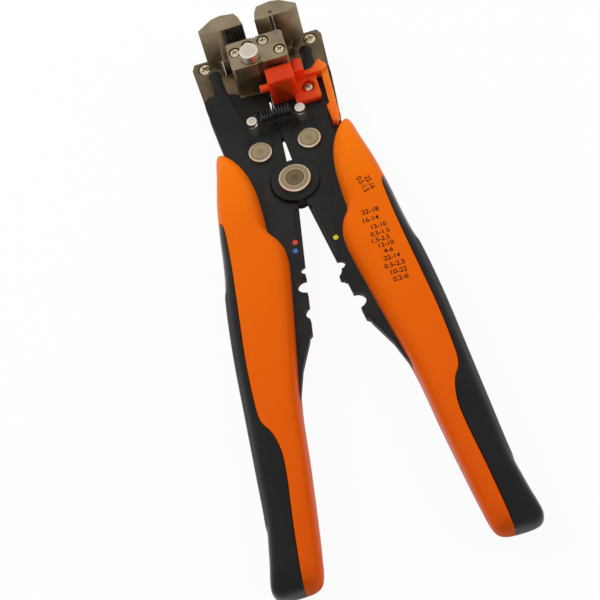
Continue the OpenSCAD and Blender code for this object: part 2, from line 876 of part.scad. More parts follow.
// Side view of an upper jaw: Y, then Z
function beak_side() = [
    [beak_y, beak_z],
    [beak_y - (beak_z - throat_z) * beak_slope, throat_z],
    [beak_y - (beak_z - front_z) * beak_slope, front_z + 2 * pass_gap],
    [hinge_y + 1.27 * knuckle_r, plate_z + 4 * pass_gap],
    [hinge_y + 0.97 * knuckle_r, hinge_z + 1.06 * knuckle_r],
    each arc(hinge_y, hinge_z, knuckle_r, 80, -80, 10),
    [hinge_y + 2 * knuckle_r, hinge_z - 1.1 * knuckle_r],
    each arc(beak_top_y - 2.2 * knuckle_r, hinge_z + 1.6 * knuckle_r, 2.7 * knuckle_r, -80, 0, 8),
    [beak_top_y + 0.4 * knuckle_r, beak_z - 3 * knuckle_r],
    [beak_top_y, beak_z]
];

// Front view of an upper jaw, with its top raised for the arm behind
function beak_front(rise = 0) = [
    [-beak_x, hinge_y - 3 * knuckle_r],
    [-beak_x, beak_y + rise],
    [-beak_x - beak_w * 0.05, beak_top_y - beak_w * 0.19 + rise],
    [-beak_x - beak_w * 0.12, beak_top_y - beak_w * 0.05 + rise],
    [-beak_x - beak_w * 0.44, beak_top_y + rise],
    [-beak_x - beak_w * 0.65, beak_top_y - beak_w * 0.04 + rise],
    [-beak_x - beak_w, beak_top_y - beak_w * 0.26 + rise],
    [-beak_x - beak_w, hinge_y - 3 * knuckle_r]
];

// Extrudes a Y-Z outline from the near side to the far side of the left half
module across(near_x, far_x) {
    translate([-far_x, 0, 0])
        rotate([90, 0, 90]) linear_extrude(far_x - near_x) children();
}

// Local frame on the underside: Y runs back along it and Z points into the jaw
module on_underside() {
    translate([0, beak_y, beak_z]) rotate([-90 - beak_angle, 0, 0]) children();
}

module upper_jaw(side) {
    depth = (beak_z - throat_z) / cos(beak_angle);
    difference() {
        union() {
            intersection() {
                across(beak_x, beak_x + beak_w)
                    intersection() {
                        polygon(beak_side());
                        translate([hinge_y, throat_z]) square([beak_y, beak_z]);
                    }
                linear_extrude(beak_z * 2) polygon(beak_front());
            }
            intersection() {
                across(arm_x, arm_end_x)
                    difference() {
                        polygon(beak_side());
                        translate([hinge_y - 2 * knuckle_r, throat_z]) square([beak_y, beak_z]);
                    }
                linear_extrude(beak_z * 2) polygon(beak_front(knuckle_r / 2));
            }
            across(arm_x, knuckle_end_x)
                translate([hinge_y, hinge_z]) circle(r = knuckle_r, $fn = round_n);
            heel();
        }
        translate([-carrier_x, hinge_y, hinge_z])
            rotate([0, 90, 0]) cylinder(r = hinge_r + run_gap, h = carrier_x, $fn = round_n);
        // Space for the spring between the knuckle and the outer ear
        translate([-arm_end_x - cut, heel_top_y, 0])
            cube([arm_end_x + cut - knuckle_end_x, hinge_y + 1.1 * knuckle_r - heel_top_y,
                  plate_z]);
        outer_slant(side == left ? left_slant_shares : right_slant_shares, depth);
        if (side == left)
            on_underside()
                translate([-beak_x - teeth_w, insert_proud, -cut])
                    cube([teeth_w + cut, depth, insert_t + cut]);
        else
            on_underside()
                translate([-blade_x - blade_t / 2, -cut, -cut])
                    cube([blade_t, depth + cut, blade_rise * 6 + cut]);
    }
}

// The outer part of the underside slants up: its width and rise as shares of the jaw's width
left_slant_shares = [0.42, 0.075];
right_slant_shares = [0.22, 0.085];

module outer_slant(slant, depth) {
    outer_x = -beak_x - beak_w - cut;
    inner_x = -beak_x - (1 - slant[0]) * beak_w;
    on_underside()
        translate([0, depth, 0])
            rotate([90, 0, 0])
                linear_extrude(depth + cut)
                    polygon([[inner_x, -cut], [inner_x, 0], [outer_x, slant[1] * beak_w],
                             [outer_x, -cut]]);
}

// Rear heel with the ramp that the lever's wedge rides on
module heel() {
    translate([-arm_end_x, heel_end_y, heel_front_z - heel_t])
        cube([arm_end_x - arm_x, heel_top_y - heel_end_y, heel_t]);
    translate([-knuckle_end_x, heel_end_y, heel_front_z - heel_t])
        cube([knuckle_end_x - arm_x, hinge_y - heel_end_y, heel_t]);
    translate([0, heel_top_y, heel_front_z])
        rotate([90, 0, 0])
            linear_extrude(heel_top_y - heel_end_y)
                polygon([
                    [-ramp_x, -cut],
                    [-ramp_x, 0],
                    [-ramp_x - ramp_run, ramp_rise],
                    [-arm_end_x, ramp_rise],
                    [-arm_end_x, -cut]
                ]);
}

module left_upper_jaw() {
    color("#9a9285") upper_jaw(left);
}

module right_upper_jaw() {
    color("#9a9285") on_side(right) upper_jaw(right);
}

// Hardened insert with cross teeth under the inner part of the left upper jaw
module left_jaw_teeth() {
    depth = (beak_z - throat_z) / cos(beak_angle);
    count = floor(teeth_w / tooth_pitch);
    pitch = teeth_w / count;
    color("#5d5852")
        on_underside()
            translate([-beak_x, depth, 0])
                rotate([90, 0, 0])
                    linear_extrude(depth - insert_proud)
                        polygon([
                            [0, insert_t],
                            [-teeth_w, insert_t],
                            [-teeth_w, 0],
                            for (i = [count - 1 : -1 : 0])
                                each [[-(i + 0.5) * pitch, -insert_proud], [-i * pitch, 0]]
                        ]);
}

// Stripping blades

blade_t = plate_t * 0.4;
blade_rise = insert_proud * 0.7;
blade_x = seam_gap + block_w - blade_t * 1.5;

function blade_edge() = [
    [-blade_t / 2, blade_rise * 6],
    [blade_t / 2, blade_rise * 6],
    [blade_t / 2, 0],
    [0, -blade_rise],
    [-blade_t / 2, 0]
];

module upper_blade() {
    depth = (beak_z - throat_z) / cos(beak_angle);
    color("#d4cfc2")
        on_side(right) on_underside()
            translate([-blade_x, depth, 0])
                rotate([90, 0, 0]) linear_extrude(depth) polygon(blade_edge());
}

module blade_slot_lower() {
    translate([-blade_x - blade_t / 2, block_top_y - blade_rise * 6, front_z - cut])
        cube([blade_t, blade_rise * 7, block_depth + 2 * cut]);
}

module lower_blade() {
    color("#d4cfc2")
        on_side(right)
            translate([-blade_x, block_top_y, front_z])
                linear_extrude(block_depth) mirror([0, 1]) polygon(blade_edge());
}

// Springs

// Turns a frame along the path without twist, then places a ring at each point
function unit(v) = v / norm(v);
function path_tangent(p, i) =
    unit(p[min(i + 1, len(p) - 1)] - p[max(i - 1, 0)]);
function path_normals(p, first) = [
    for (i = 0, t = path_tangent(p, 0), n = unit(first - (first * t) * t);
        i < len(p);
        i = i + 1,
        t = path_tangent(p, min(i, len(p) - 1)),
        n = unit(n - (n * t) * t))
    n
];

module tube(p, r, first, sides = 6) {
    normals = path_normals(p, first);
    rings = len(p);
    points = [
        for (i = [0 : rings - 1])
            let (t = path_tangent(p, i), n = normals[i], b = cross(t, n))
            for (j = [0 : sides - 1])
                let (a = 360 * j / sides) p[i] + r * (cos(a) * n + sin(a) * b)
    ];
    faces = [
        [for (j = [0 : sides - 1]) j],
        [for (j = [sides - 1 : -1 : 0]) (rings - 1) * sides + j],
        for (i = [0 : rings - 2])
            for (j = [0 : sides - 1])
                let (a = i * sides + j, b = i * sides + (j + 1) % sides)
                each [[a, a + sides, b], [b, a + sides, b + sides]]
    ];
    polyhedron(points = points, faces = faces, convexity = 10);
}

// Least gap of a tube to itself between points at least half a turn apart
function self_gap(p, r, apart) =
    min([for (i = [0 : len(p) - 1]) for (j = [i + apart : 1 : len(p) - 1]) norm(p[i] - p[j])])
    - 2 * r;

ring_n = 8;
hook_r = post_r - groove_depth + spring_wire_r + pass_gap;
coil_half = post_x - post_r - spring_mean_r * 0.6;
coil_pitch = 2 * coil_half / (spring_turns + 0.5);

// The coil runs along X and each end leaves it in the plane of the posts' grooves
function return_coil() = [
    for (i = [0 : (spring_turns + 0.5) * ring_n])
        let (
            a = 90 + 360 * i / ring_n,
            x = -coil_half + coil_pitch * i / ring_n
        )
        [x, coil_y + spring_mean_r * sin(a), groove_z + spring_mean_r * cos(a)]
];

function hook(sx, sy) = [
    [sx * (post_x - hook_r), (coil_y + post_y + sy * (hook_r + spring_mean_r)) / 2, groove_z],
    for (i = [0 : 8])
        let (a = 90 - 200 * i / 8)
        [sx * (post_x + hook_r * cos(a)), post_y + sy * hook_r * sin(a), groove_z]
];

function reversed(p) = [for (i = [len(p) - 1 : -1 : 0]) p[i]];
return_path = concat(reversed(hook(-1, 1)), return_coil(), hook(1, -1));

module return_spring() {
    color("#1c1c1c") tube(return_path, spring_wire_r, [0, 0, 1]);
}

echo(return_spring_gap = self_gap(return_path, spring_wire_r, ring_n - 2));

// Torsion spring round each jaw hinge: one leg on the carrier's wall, one behind the jaw
jaw_coil_x = (knuckle_end_x + arm_end_x) / 2 + jaw_wire_r;
jaw_coil_pitch = jaw_wire_r * 4;
function jaw_coil() = [
    for (i = [0 : jaw_spring_turns * ring_n])
        let (a = 360 * i / ring_n)
        [
            -jaw_coil_x + jaw_coil_pitch * (i / ring_n - jaw_spring_turns / 2),
            hinge_y + jaw_spring_r * cos(a),
            hinge_z + jaw_spring_r * sin(a)
        ]
];
jaw_path = concat(
    [[-jaw_coil_x - jaw_coil_pitch * jaw_spring_turns / 2, hinge_y + jaw_spring_r,
      hinge_z - knuckle_r * 0.8]],
    jaw_coil(),
    [[-jaw_coil_x + jaw_coil_pitch * jaw_spring_turns / 2, hinge_y + jaw_spring_r,
      plate_z - jaw_wire_r - pass_gap]]
);

module left_jaw_spring() {
    color("#3a3a3a") tube(jaw_path, jaw_wire_r, [1, 0, 0]);
}

module right_jaw_spring() {
    color("#3a3a3a") on_side(right) tube(jaw_path, jaw_wire_r, [1, 0, 0]);
}

echo(jaw_spring_gap = self_gap(jaw_path, jaw_wire_r, ring_n - 2));

// Grips

// Stations down a grip: share of its length, share of the reach at the inner edge and at
// the outer edge, and share of the full thickness
grip_shares = [
    [0, 0.505, 0.548, 0.34],
    [0.0035, 0.485, 0.563, 0.54],
    [0.014, 0.462, 0.576, 0.72],
    [0.0492, 0.405, 0.593, 0.86],
    [0.0865, 0.332, 0.629, 0.94],
    [0.1379, 0.31, 0.666, 0.98],
    [0.1883, 0.31, 0.693, 1],
    [0.2387, 0.3, 0.715, 1],
    [0.2771, 0.243, 0.732, 1],
    [0.3023, 0.225, 0.746, 1],
    [0.3406, 0.244, 0.771, 1],
    [0.4162, 0.3, 0.805, 1],
    [0.5049, 0.363, 0.834, 1],
    [0.6199, 0.444, 0.859, 1],
    [0.7278, 0.49, 0.883, 1],
    [0.8417, 0.544, 0.91, 1],
    [0.9304, 0.59, 0.966, 0.99],
    [0.9748, 0.617, 0.998, 0.95],
    [0.9919, 0.65, 0.96, 0.85],
    [1, 0.7, 0.9, 0.6]
];

// Edge of the soft pad: share of the grip's length, share of the reach
pad_shares = [
    [0.1782, 0.72],
    [0.2055, 0.645],
    [0.2639, 0.65],
    [0.3547, 0.68],
    [0.4354, 0.712],
    [0.516, 0.742],
    [0.5967, 0.755],
    [0.6521, 0.75],
    [0.6874, 0.69],
    [0.7278, 0.662],
    [0.7782, 0.67],
    [0.879, 0.718],
    [1.02, 0.778]
];

grip_steps = 2;
grip_sides = 20;
// Squareness of the grip's section: 2 is an ellipse
grip_power = 3.4;

function rounded(a, power) = sign(a) * pow(abs(a), 2 / power);

module grip_body() {
    rows = smooth_curve(grip_shares, grip_steps);
    n = len(rows);
    points = [
        for (r = rows)
            let (
                y = grip_top_y - r[0] * grip_len,
                mid = -(r[1] + r[2]) / 2 * grip_reach,
                half_w = (r[2] - r[1]) / 2 * grip_reach,
                half_t = r[3] * grip_t / 2
            )
            for (j = [0 : grip_sides - 1])
                let (a = 360 * j / grip_sides)
                [
                    mid + half_w * rounded(cos(a), grip_power),
                    y,
                    grip_t / 2 + half_t * rounded(sin(a), grip_power)
                ]
    ];
    faces = [
        [for (j = [grip_sides - 1 : -1 : 0]) j],
        [for (j = [0 : grip_sides - 1]) (n - 1) * grip_sides + j],
        for (i = [0 : n - 2])
            for (j = [0 : grip_sides - 1])
                let (a = i * grip_sides + j, b = i * grip_sides + (j + 1) % grip_sides)
                each [[a, b, a + grip_sides], [b, b + grip_sides, a + grip_sides]]
    ];
    polyhedron(points = points, faces = faces, convexity = 10);
}

// Everything outside the pad's edge
module pad_zone() {
    edge = smooth_curve(pad_shares, 2);
    far = grip_reach * 1.2;
    translate([0, 0, -cut])
        linear_extrude(grip_t + 2 * cut)
            polygon([
                for (r = edge) [-r[1] * grip_reach, grip_top_y - r[0] * grip_len],
                [-far, grip_top_y - 1.02 * grip_len],
                [-far, grip_top_y - 0.15 * grip_len]
            ]);
}

module steel_pockets() {
    translate([0, 0, plate_z]) linear_extrude(plate_t) {
        plate_top();
        handle_steel();
    }
    translate([0, 0, rear_z]) linear_extrude(rear_t) rear_plan();
}

module grip(side) {
    difference() {
        grip_body();
        pad_zone();
        steel_pockets();
        // Keeps clear of the other half's lap disc
        lap_disc(lap_pocket_r, -cut, grip_t + cut);
    }
}

module grip_pad() {
    difference() {
        intersection() {
            grip_body();
            pad_zone();
        }
        steel_pockets();
    }
}

module left_grip() {
    color("#f57c14") grip(left);
}

module right_grip() {
    color("#f57c14") on_side(right) grip(right);
}

module left_grip_pad() {
    color("#1f1f1f") grip_pad();
}

module right_grip_pad() {
    color("#1f1f1f") on_side(right) grip_pad();
}

// Stop guard, drawn on the left and mirrored to the right

module guard_body() {
    box_x = guard_x + guard_box_w;
    wall_in = seam_gap + block_w + guard_clear * 2;
    wall_x = box_x + guard_wall * 2.2;
    strip_in = guard_strip_x;
    strip_out = head_half_w * 0.965;
    flange_x = -strip_in + lug_r * 0.6;
    flange_y = guard_y - lug_r * 1.55;
    pocket_z = guard_z + guard_flange_t * 0.3;
    difference() {
        union() {
            // Box in front of the seam, open at the back
            translate([-box_x, guard_y, guard_z]) cube([guard_box_w, guard_box_h, guard_depth]);
            // Small lug across the seam
            translate([-guard_x - guard_wall / 2, guard_y + guard_box_h * 0.45,
                       guard_z + guard_depth * 0.55])
                rotate([0, 90, 0])
                    cylinder(r = guard_box_h * 0.22, h = guard_box_w * 0.33 + guard_wall / 2,
                             $fn = round_n);
            // Wall beside the jaw block
            translate([-wall_x, guard_y + guard_box_h * 0.85, guard_z])
                cube([wall_x - wall_in, guard_box_h * 0.85, guard_depth * 0.62]);
            translate([-wall_x, guard_y + guard_box_h * 0.85, guard_z])
                cube([wall_x - box_x, guard_box_h * 0.15, guard_depth * 0.62]);
            // Flange on the plate
            translate([0, 0, guard_z]) linear_extrude(guard_flange_t)
                polygon([
                    [-box_x + guard_wall, guard_y + guard_box_h],
                    [-box_x + guard_wall, flange_y],
                    each arc(flange_x + lug_r / 2, flange_y + lug_r / 2, lug_r / 2, 270, 180, 4),
                    [flange_x, guard_y + guard_box_h]
                ]);
            // Ridge from the wall to the strip
            translate([0, 0, guard_z]) linear_extrude(guard_flange_t * 1.75)
                polygon([
                    [-wall_in, guard_y + guard_box_h * 0.9],
                    [-strip_out + lug_r, guard_y + guard_box_h * 0.9],
                    [-strip_out, guard_y + guard_box_h * 1.2],
                    [-strip_in - lug_r / 2, guard_y + guard_box_h * 1.75],
                    [-strip_in + lug_r, guard_y + guard_box_h * 1.25],
                    [-wall_in, guard_y + guard_box_h * 1.15]
                ]);
            // Sprung strip along the edge of the plate, ending in a foot
            translate([0, 0, guard_z]) linear_extrude(guard_flange_t * 1.1)
                polygon([
                    [-strip_in - lug_r / 2, guard_y + guard_box_h * 1.7],
                    [-strip_out, guard_y + guard_box_h * 1.2],
                    [-strip_out + lug_r * 0.4, lever_pin_y + 2 * lug_r],
                    [-strip_in, lever_pin_y + 2 * lug_r],
                    [-strip_in - lug_r * 0.3, guard_y + guard_box_h]
                ]);
            translate([0, 0, guard_z]) linear_extrude(guard_flange_t * 1.4)
                polygon([
                    [-strip_in - lug_r * 0.3, post_y + lug_r / 2],
                    [-strip_in + lug_r * 0.4, post_y],
                    [-strip_in + lug_r * 0.2, lever_pin_y + lug_r * 1.3],
                    [-strip_out + lug_r, lever_pin_y + lug_r * 0.9],
                    [-strip_out + lug_r * 0.2, lever_pin_y + 2.4 * lug_r]
                ]);
        }
        // Hollow of the box
        translate([-box_x + guard_wall, guard_y + guard_wall / 2, guard_z - cut])
            cube([guard_box_w - 2 * guard_wall, guard_box_h - guard_wall,
                  guard_depth - guard_wall + cut]);
        // Seat of the screw
        translate([-guard_screw_x, guard_screw_y, guard_z - cut])
            cylinder(r = guard_screw_r * 0.6 + pass_gap, h = guard_depth, $fn = round_n);
        translate([-guard_screw_x, guard_screw_y, pocket_z])
            cylinder(r = guard_screw_r + 6 * pass_gap, h = guard_depth, $fn = round_n);
    }
}

module stop_guard() {
    color("#e8380d") on_side(right) guard_body();
}

module stop_guard_screw() {
    color("#cfc6ac")
        on_side(right)
            translate([-guard_screw_x, guard_screw_y, guard_z + guard_flange_t * 0.3])
                cross_screw(guard_screw_r, screw_head_h,
                            guard_z + guard_flange_t * 0.3 - plate_z);
}

left_plate();
left_rear_plate();
left_jaw_carrier();
left_lower_jaw();
left_jaw_screws();
left_carrier_screw();
left_hinge_pin();
left_lever_pin();
left_drive_pin();
left_spring_post();
left_grip();
left_grip_pad();
left_jaw_spring();
main_pivot();
return_spring();
left_cam_lever();
left_upper_jaw();
left_jaw_teeth();
adjuster_knob();
right_plate();
right_rear_plate();
right_jaw_carrier();
right_lower_jaw();
right_jaw_screws();
right_carrier_screw();
right_hinge_pin();
right_lever_pin();
right_drive_pin();
right_spring_post();
right_grip();
right_grip_pad();
right_jaw_spring();
right_cam_lever();
right_upper_jaw();
upper_blade();
lower_blade();
stop_guard();
stop_guard_screw();
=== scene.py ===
# %% [markdown]
# # A self-adjusting wire stripper
#
# The tool has two crossed levers with moulded grips, and each lever carries half of the head.
# The shapes of the steel come from the CAD model. This notebook gives every part its real
# surface, makes the round and moulded parts smoother than the CAD model can hold them, and
# lights the tool as a studio would.

import json
import math

import bmesh
import bpy
import numpy as np
from mathutils import Matrix, Vector


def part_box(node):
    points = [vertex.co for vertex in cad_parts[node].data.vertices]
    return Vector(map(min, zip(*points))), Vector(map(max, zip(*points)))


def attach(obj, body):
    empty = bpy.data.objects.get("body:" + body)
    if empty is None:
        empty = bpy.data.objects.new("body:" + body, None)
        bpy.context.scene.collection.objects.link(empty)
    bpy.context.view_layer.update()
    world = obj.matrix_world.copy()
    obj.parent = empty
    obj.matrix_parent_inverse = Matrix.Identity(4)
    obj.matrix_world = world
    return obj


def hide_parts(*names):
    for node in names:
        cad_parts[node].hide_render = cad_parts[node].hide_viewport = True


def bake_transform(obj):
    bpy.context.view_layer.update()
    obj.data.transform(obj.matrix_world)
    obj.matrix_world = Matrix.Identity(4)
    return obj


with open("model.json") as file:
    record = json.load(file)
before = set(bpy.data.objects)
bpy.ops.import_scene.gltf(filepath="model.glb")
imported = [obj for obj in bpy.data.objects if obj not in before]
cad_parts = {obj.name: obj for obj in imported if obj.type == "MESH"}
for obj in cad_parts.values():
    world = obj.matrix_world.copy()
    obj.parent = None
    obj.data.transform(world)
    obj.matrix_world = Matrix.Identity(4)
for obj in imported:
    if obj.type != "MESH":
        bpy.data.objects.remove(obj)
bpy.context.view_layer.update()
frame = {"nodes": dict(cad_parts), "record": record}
nodes = frame["nodes"]

# %% [markdown]
# ## Units and colours
#
# Blender works in metres, but a hand tool is measured in millimetres, so every size below is
# written in millimetres and multiplied by one constant. Colours are easiest to read as sRGB hex
# values, which is how they look on a screen, while shaders want linear light. One function
# turns the first into the second. Two more put a new object into the scene, and turn a mesh
# that was edited with bmesh into one that an object can hold.

# %% Units and colours
MM = 0.001
SIDES = ((-1, "left"), (1, "right"))


def linear(hex_code):
    """An sRGB hex colour as linear red, green, blue and alpha."""
    rgb = [int(hex_code[i : i + 2], 16) / 255 for i in (1, 3, 5)]
    return [v / 12.92 if v <= 0.04045 else ((v + 0.055) / 1.055) ** 2.4 for v in rgb] + [1.0]


def placed(name, data):
    """A new object in the scene with that data."""
    made = bpy.data.objects.new(name, data)
    bpy.context.scene.collection.objects.link(made)
    return made


def kept_mesh(name, work):
    """The edited mesh as a mesh that objects can use."""
    mesh = bpy.data.meshes.new(name)
    work.to_mesh(mesh)
    work.free()
    return mesh


# %% [markdown]
# ## The camera
#
# The camera leans back from the tool's front face and is rolled, so that the head leans to the
# left in the picture. The camera's own axes are worked out from three angles, and then it is
# set back so that a point at the head of the main rivet lands on its place in the frame.

# %% Camera
FRAME_PX = 600
FOCAL_PX = 1848
TILT, TURN, ROLL = (math.radians(a) for a in (31.0, -0.492, 16.21))
DISTANCE = 600 * MM
ANCHOR = Vector((0, 0, 14.5 * MM))
ANCHOR_PX = (294.5, 177.0)
SENSOR = 36.0

toward = Vector((-math.sin(TURN), -math.sin(TILT) * math.cos(TURN), math.cos(TILT) * math.cos(TURN)))
level = Vector((0, 1, 0)).cross(toward).normalized()
upright = toward.cross(level)
right = level * math.cos(ROLL) - upright * math.sin(ROLL)
up = level * math.sin(ROLL) + upright * math.cos(ROLL)
aside = (ANCHOR_PX[0] - FRAME_PX / 2) / FOCAL_PX
above = (FRAME_PX / 2 - ANCHOR_PX[1]) / FOCAL_PX

camera_data = bpy.data.cameras.new("camera")
camera_data.sensor_width = SENSOR
camera_data.lens = SENSOR * FOCAL_PX / FRAME_PX
camera_data.clip_start, camera_data.clip_end = 0.02, 20
camera = placed("camera", camera_data)
camera.matrix_world = Matrix((right, up, toward)).transposed().to_4x4()
camera.location = ANCHOR - DISTANCE * (right * aside + up * above - toward)
bpy.context.scene.camera = camera
print("camera at", tuple(round(v, 3) for v in camera.location))

# %% [markdown]
# ## Building shader nodes
#
# A material is a small graph. Writing each node by hand takes four lines, so one function adds
# a node of any kind with its settings and its links. An input can be given as a plain value,
# which goes straight on the socket, where an exporter can find it, or as a socket or a whole
# node, which is then linked. Noise in Blender stays between about 0.3 and 0.7, so whatever maps
# it to a range of its own starts from those two.

# %% A node with its settings and links
NOISE_RANGE = {"From Min": 0.3, "From Max": 0.7}


def connect(tree, node, inputs):
    """Sets or links a node's inputs: another node stands for its first output."""
    for key, value in inputs.items():
        if isinstance(value, bpy.types.Node):
            value = value.outputs[0]
        if isinstance(value, bpy.types.NodeSocket):
            tree.links.new(value, node.inputs[key])
        else:
            node.inputs[key].default_value = value


def add(tree, kind, inputs=None, stops=(), **settings):
    """Adds a node: stops are a ramp's places and hex colours, settings the node's properties."""
    made = tree.nodes.new(kind)
    for key, value in settings.items():
        setattr(made, key, value)
    connect(tree, made, inputs or {})
    if stops:
        while len(made.color_ramp.elements) < len(stops):
            made.color_ramp.elements.new(0.5)
        for element, (place, colour) in zip(made.color_ramp.elements, stops):
            element.position, element.color = place, linear(colour)
    return made


def new_material(name, **surface):
    """A material with one Principled shader, the tree and shader to add to, and its coordinates."""
    material = bpy.data.materials.new(name)
    material.use_nodes = True
    tree = material.node_tree
    tree.nodes.clear()
    shader = add(tree, "ShaderNodeBsdfPrincipled", surface)
    add(tree, "ShaderNodeOutputMaterial", {"Surface": shader})
    return material, tree, shader, add(tree, "ShaderNodeTexCoord").outputs["Object"]


def along(tree, place, axis, start_mm, end_mm):
    """How far a point is from one place on an axis of the tool to another, from 0 to 1."""
    where = add(tree, "ShaderNodeSeparateXYZ", {"Vector": place}).outputs[axis]
    return add(tree, "ShaderNodeMapRange", {"Value": where, "From Min": start_mm * MM,
                                            "From Max": end_mm * MM})


# %% [markdown]
# ## Black oxide steel
#
# The plates are stamped from 3 mm steel, tumbled and blackened in a hot oxide bath. The finish
# is almost black and satin, with a very fine tooth from the tumbling and slightly lighter wear.
# A dielectric shader with a dark base shows this better than a pure metal, because the oxide
# layer scatters light, and an oiled oxide mirrors less than plastic does. The grain is 0.12 mm,
# which is as fine as the picture can hold.

# %% Black oxide steel
black_oxide, tree, shader, place = new_material("black_oxide_steel", **{"Specular IOR Level": 0.2})
fine = add(tree, "ShaderNodeTexNoise", {"Vector": place, "Scale": 1 / (0.12 * MM), "Detail": 3.0})
cloud = add(tree, "ShaderNodeTexNoise", {"Vector": place, "Scale": 1 / (9.0 * MM), "Detail": 2.0})
faces = add(tree, "ShaderNodeValToRGB", {"Fac": cloud}, [(0.35, "#131312"), (0.65, "#1d1e1c")])
# Painted light: the plates' front is at 12 mm, and the bevels and walls just below it, which lie in shade,
# are painted lighter
painted_light_below = along(tree, place, "Z", 11.9, 11.6)
painted_light_edges = add(tree, "ShaderNodeMix", {0: painted_light_below, 6: faces, 7: linear("#3b3a37")}, data_type="RGBA")
rough = add(tree, "ShaderNodeMapRange", {"Value": cloud, **NOISE_RANGE, "To Min": 0.36, "To Max": 0.48})
relief = add(tree, "ShaderNodeBump", {"Height": fine, "Distance": 0.02 * MM, "Strength": 0.6})
connect(tree, shader, {"Base Color": painted_light_edges.outputs[2], "Roughness": rough, "Normal": relief})

# %% [markdown]
# ## Sintered jaw steel
#
# The jaws and their carriers are sintered or cast steel, bead-blasted and left warm grey. Bead
# blasting leaves dimples of about 0.15 mm that spread the reflections, so the metal looks
# matt, and its tint comes from the alloy. The carriers behind the jaws are a shade darker,
# which is painted shade for the shade that falls into their recess.

# %% Sintered jaw steel


def blasted_steel(name, dark, light):
    """Matt blasted metal whose tint drifts between two colours."""
    material, tree, shader, place = new_material(name, Metallic=1.0)
    cloud = add(tree, "ShaderNodeTexNoise", {"Vector": place, "Scale": 1 / (5.0 * MM), "Detail": 4.0})
    fine = add(tree, "ShaderNodeTexNoise", {"Vector": place, "Scale": 1 / (0.16 * MM), "Detail": 3.0})
    tint = add(tree, "ShaderNodeValToRGB", {"Fac": cloud}, [(0.3, dark), (0.7, light)])
    rough = add(tree, "ShaderNodeMapRange", {"Value": cloud, **NOISE_RANGE,
                                             "To Min": 0.38, "To Max": 0.5})
    relief = add(tree, "ShaderNodeBump", {"Height": fine, "Distance": 0.03 * MM, "Strength": 0.7})
    connect(tree, shader, {"Base Color": tint, "Roughness": rough, "Normal": relief})
    return material


jaw_steel = blasted_steel("blasted_jaw_steel", "#82755b", "#9d8f76")
# Painted shade: the carriers' colours are darker than the jaws' for the shade in their recess
painted_shade_carrier_steel = blasted_steel("blasted_steel_painted_shade", "#5e523f", "#786850")

# %% [markdown]
# ## Turned steel
#
# Rivets, posts and the knob are turned on a lathe. The tool leaves rings that share the part's
# axis. Each turned piece carries two attributes: how far along its profile a point is, which
# gives rings on every piece wherever it stands, and how far out it is as a share of the
# radius, on which the colour paints a highlight along the rim, brighter than the face.

# %% Turned steel


def turned_steel(name, stops, low, high, ring_mm=0.12):
    """Lathe-turned metal coloured from its axis to its rim, with rings along its profile."""
    material, tree, shader, place = new_material(name, Metallic=1.0)
    length = add(tree, "ShaderNodeAttribute", attribute_name="turned").outputs["Fac"]
    out = add(tree, "ShaderNodeAttribute", attribute_name="reach").outputs["Fac"]
    run = add(tree, "ShaderNodeCombineXYZ", {"X": length})
    rings = add(tree, "ShaderNodeTexNoise", {"Vector": run, "Scale": 1 / (ring_mm * MM), "Detail": 2.0})
    cloud = add(tree, "ShaderNodeTexNoise", {"Vector": place, "Scale": 1 / (1.2 * MM), "Detail": 3.0})
    drift = add(tree, "ShaderNodeMapRange", {"Value": cloud, **NOISE_RANGE,
                                             "To Min": -0.015, "To Max": 0.015})
    reached = add(tree, "ShaderNodeMath", {0: out, 1: drift}, operation="ADD")
    tint = add(tree, "ShaderNodeValToRGB", {"Fac": reached}, stops)
    rough = add(tree, "ShaderNodeMapRange", {"Value": rings, **NOISE_RANGE, "To Min": low, "To Max": high})
    relief = add(tree, "ShaderNodeBump", {"Height": rings, "Distance": 0.006 * MM, "Strength": 0.5})
    connect(tree, shader, {"Base Color": tint, "Roughness": rough, "Normal": relief})
    return material


# The stops paint a highlight on each rim, a painted highlight on the large rivet's raised ring and painted
# shade in its dish
pivot_steel = turned_steel(
    "turned_pivot_steel",
    [(0.0, "#5c4d39"), (0.4, "#75654d"), (0.56, "#655540"), (0.62, "#b3a286"), (0.68, "#8d7b60"),
     (0.86, "#9a886c"), (0.97, "#dfd2ba")], 0.24, 0.34)
rivet_steel = turned_steel(
    "turned_rivet_steel",
    [(0.0, "#857456"), (0.35, "#96866a"), (0.6, "#9d8d70"), (0.74, "#85755a"), (0.86, "#ab9b80"),
     (0.97, "#e4d8c0")], 0.22, 0.32)
bright_steel = turned_steel(
    "turned_bright_steel", [(0.0, "#c9bfad"), (0.8, "#cfc6b5"), (0.97, "#e9e3d6")], 0.3, 0.42)

# %% [markdown]
# ## Zinc-plated screws, springs, levers and blades
#
# These small parts differ in tint and shine more than in texture. Zinc plate is pale with a
# yellow cast, spring wire is drawn and blackened, the cam levers are bare hardened sheet, and
# the blades are ground along their length.

# %% Small metal finishes


def plain_metal(name, dark, light, low, high, grain_mm, metallic=1.0):
    """Metal with a fine grain, and a tint that drifts between two colours."""
    material, tree, shader, place = new_material(name, Metallic=metallic)
    fine = add(tree, "ShaderNodeTexNoise", {"Vector": place, "Scale": 1 / (grain_mm * MM), "Detail": 3.0})
    cloud = add(tree, "ShaderNodeTexNoise", {"Vector": place, "Scale": 1 / (2.5 * MM), "Detail": 3.0})
    tint = add(tree, "ShaderNodeValToRGB", {"Fac": cloud}, [(0.35, dark), (0.65, light)])
    rough = add(tree, "ShaderNodeMapRange", {"Value": fine, **NOISE_RANGE, "To Min": low, "To Max": high})
    relief = add(tree, "ShaderNodeBump", {"Height": fine, "Distance": 0.01 * MM, "Strength": 0.6})
    connect(tree, shader, {"Base Color": tint, "Roughness": rough, "Normal": relief})
    return material


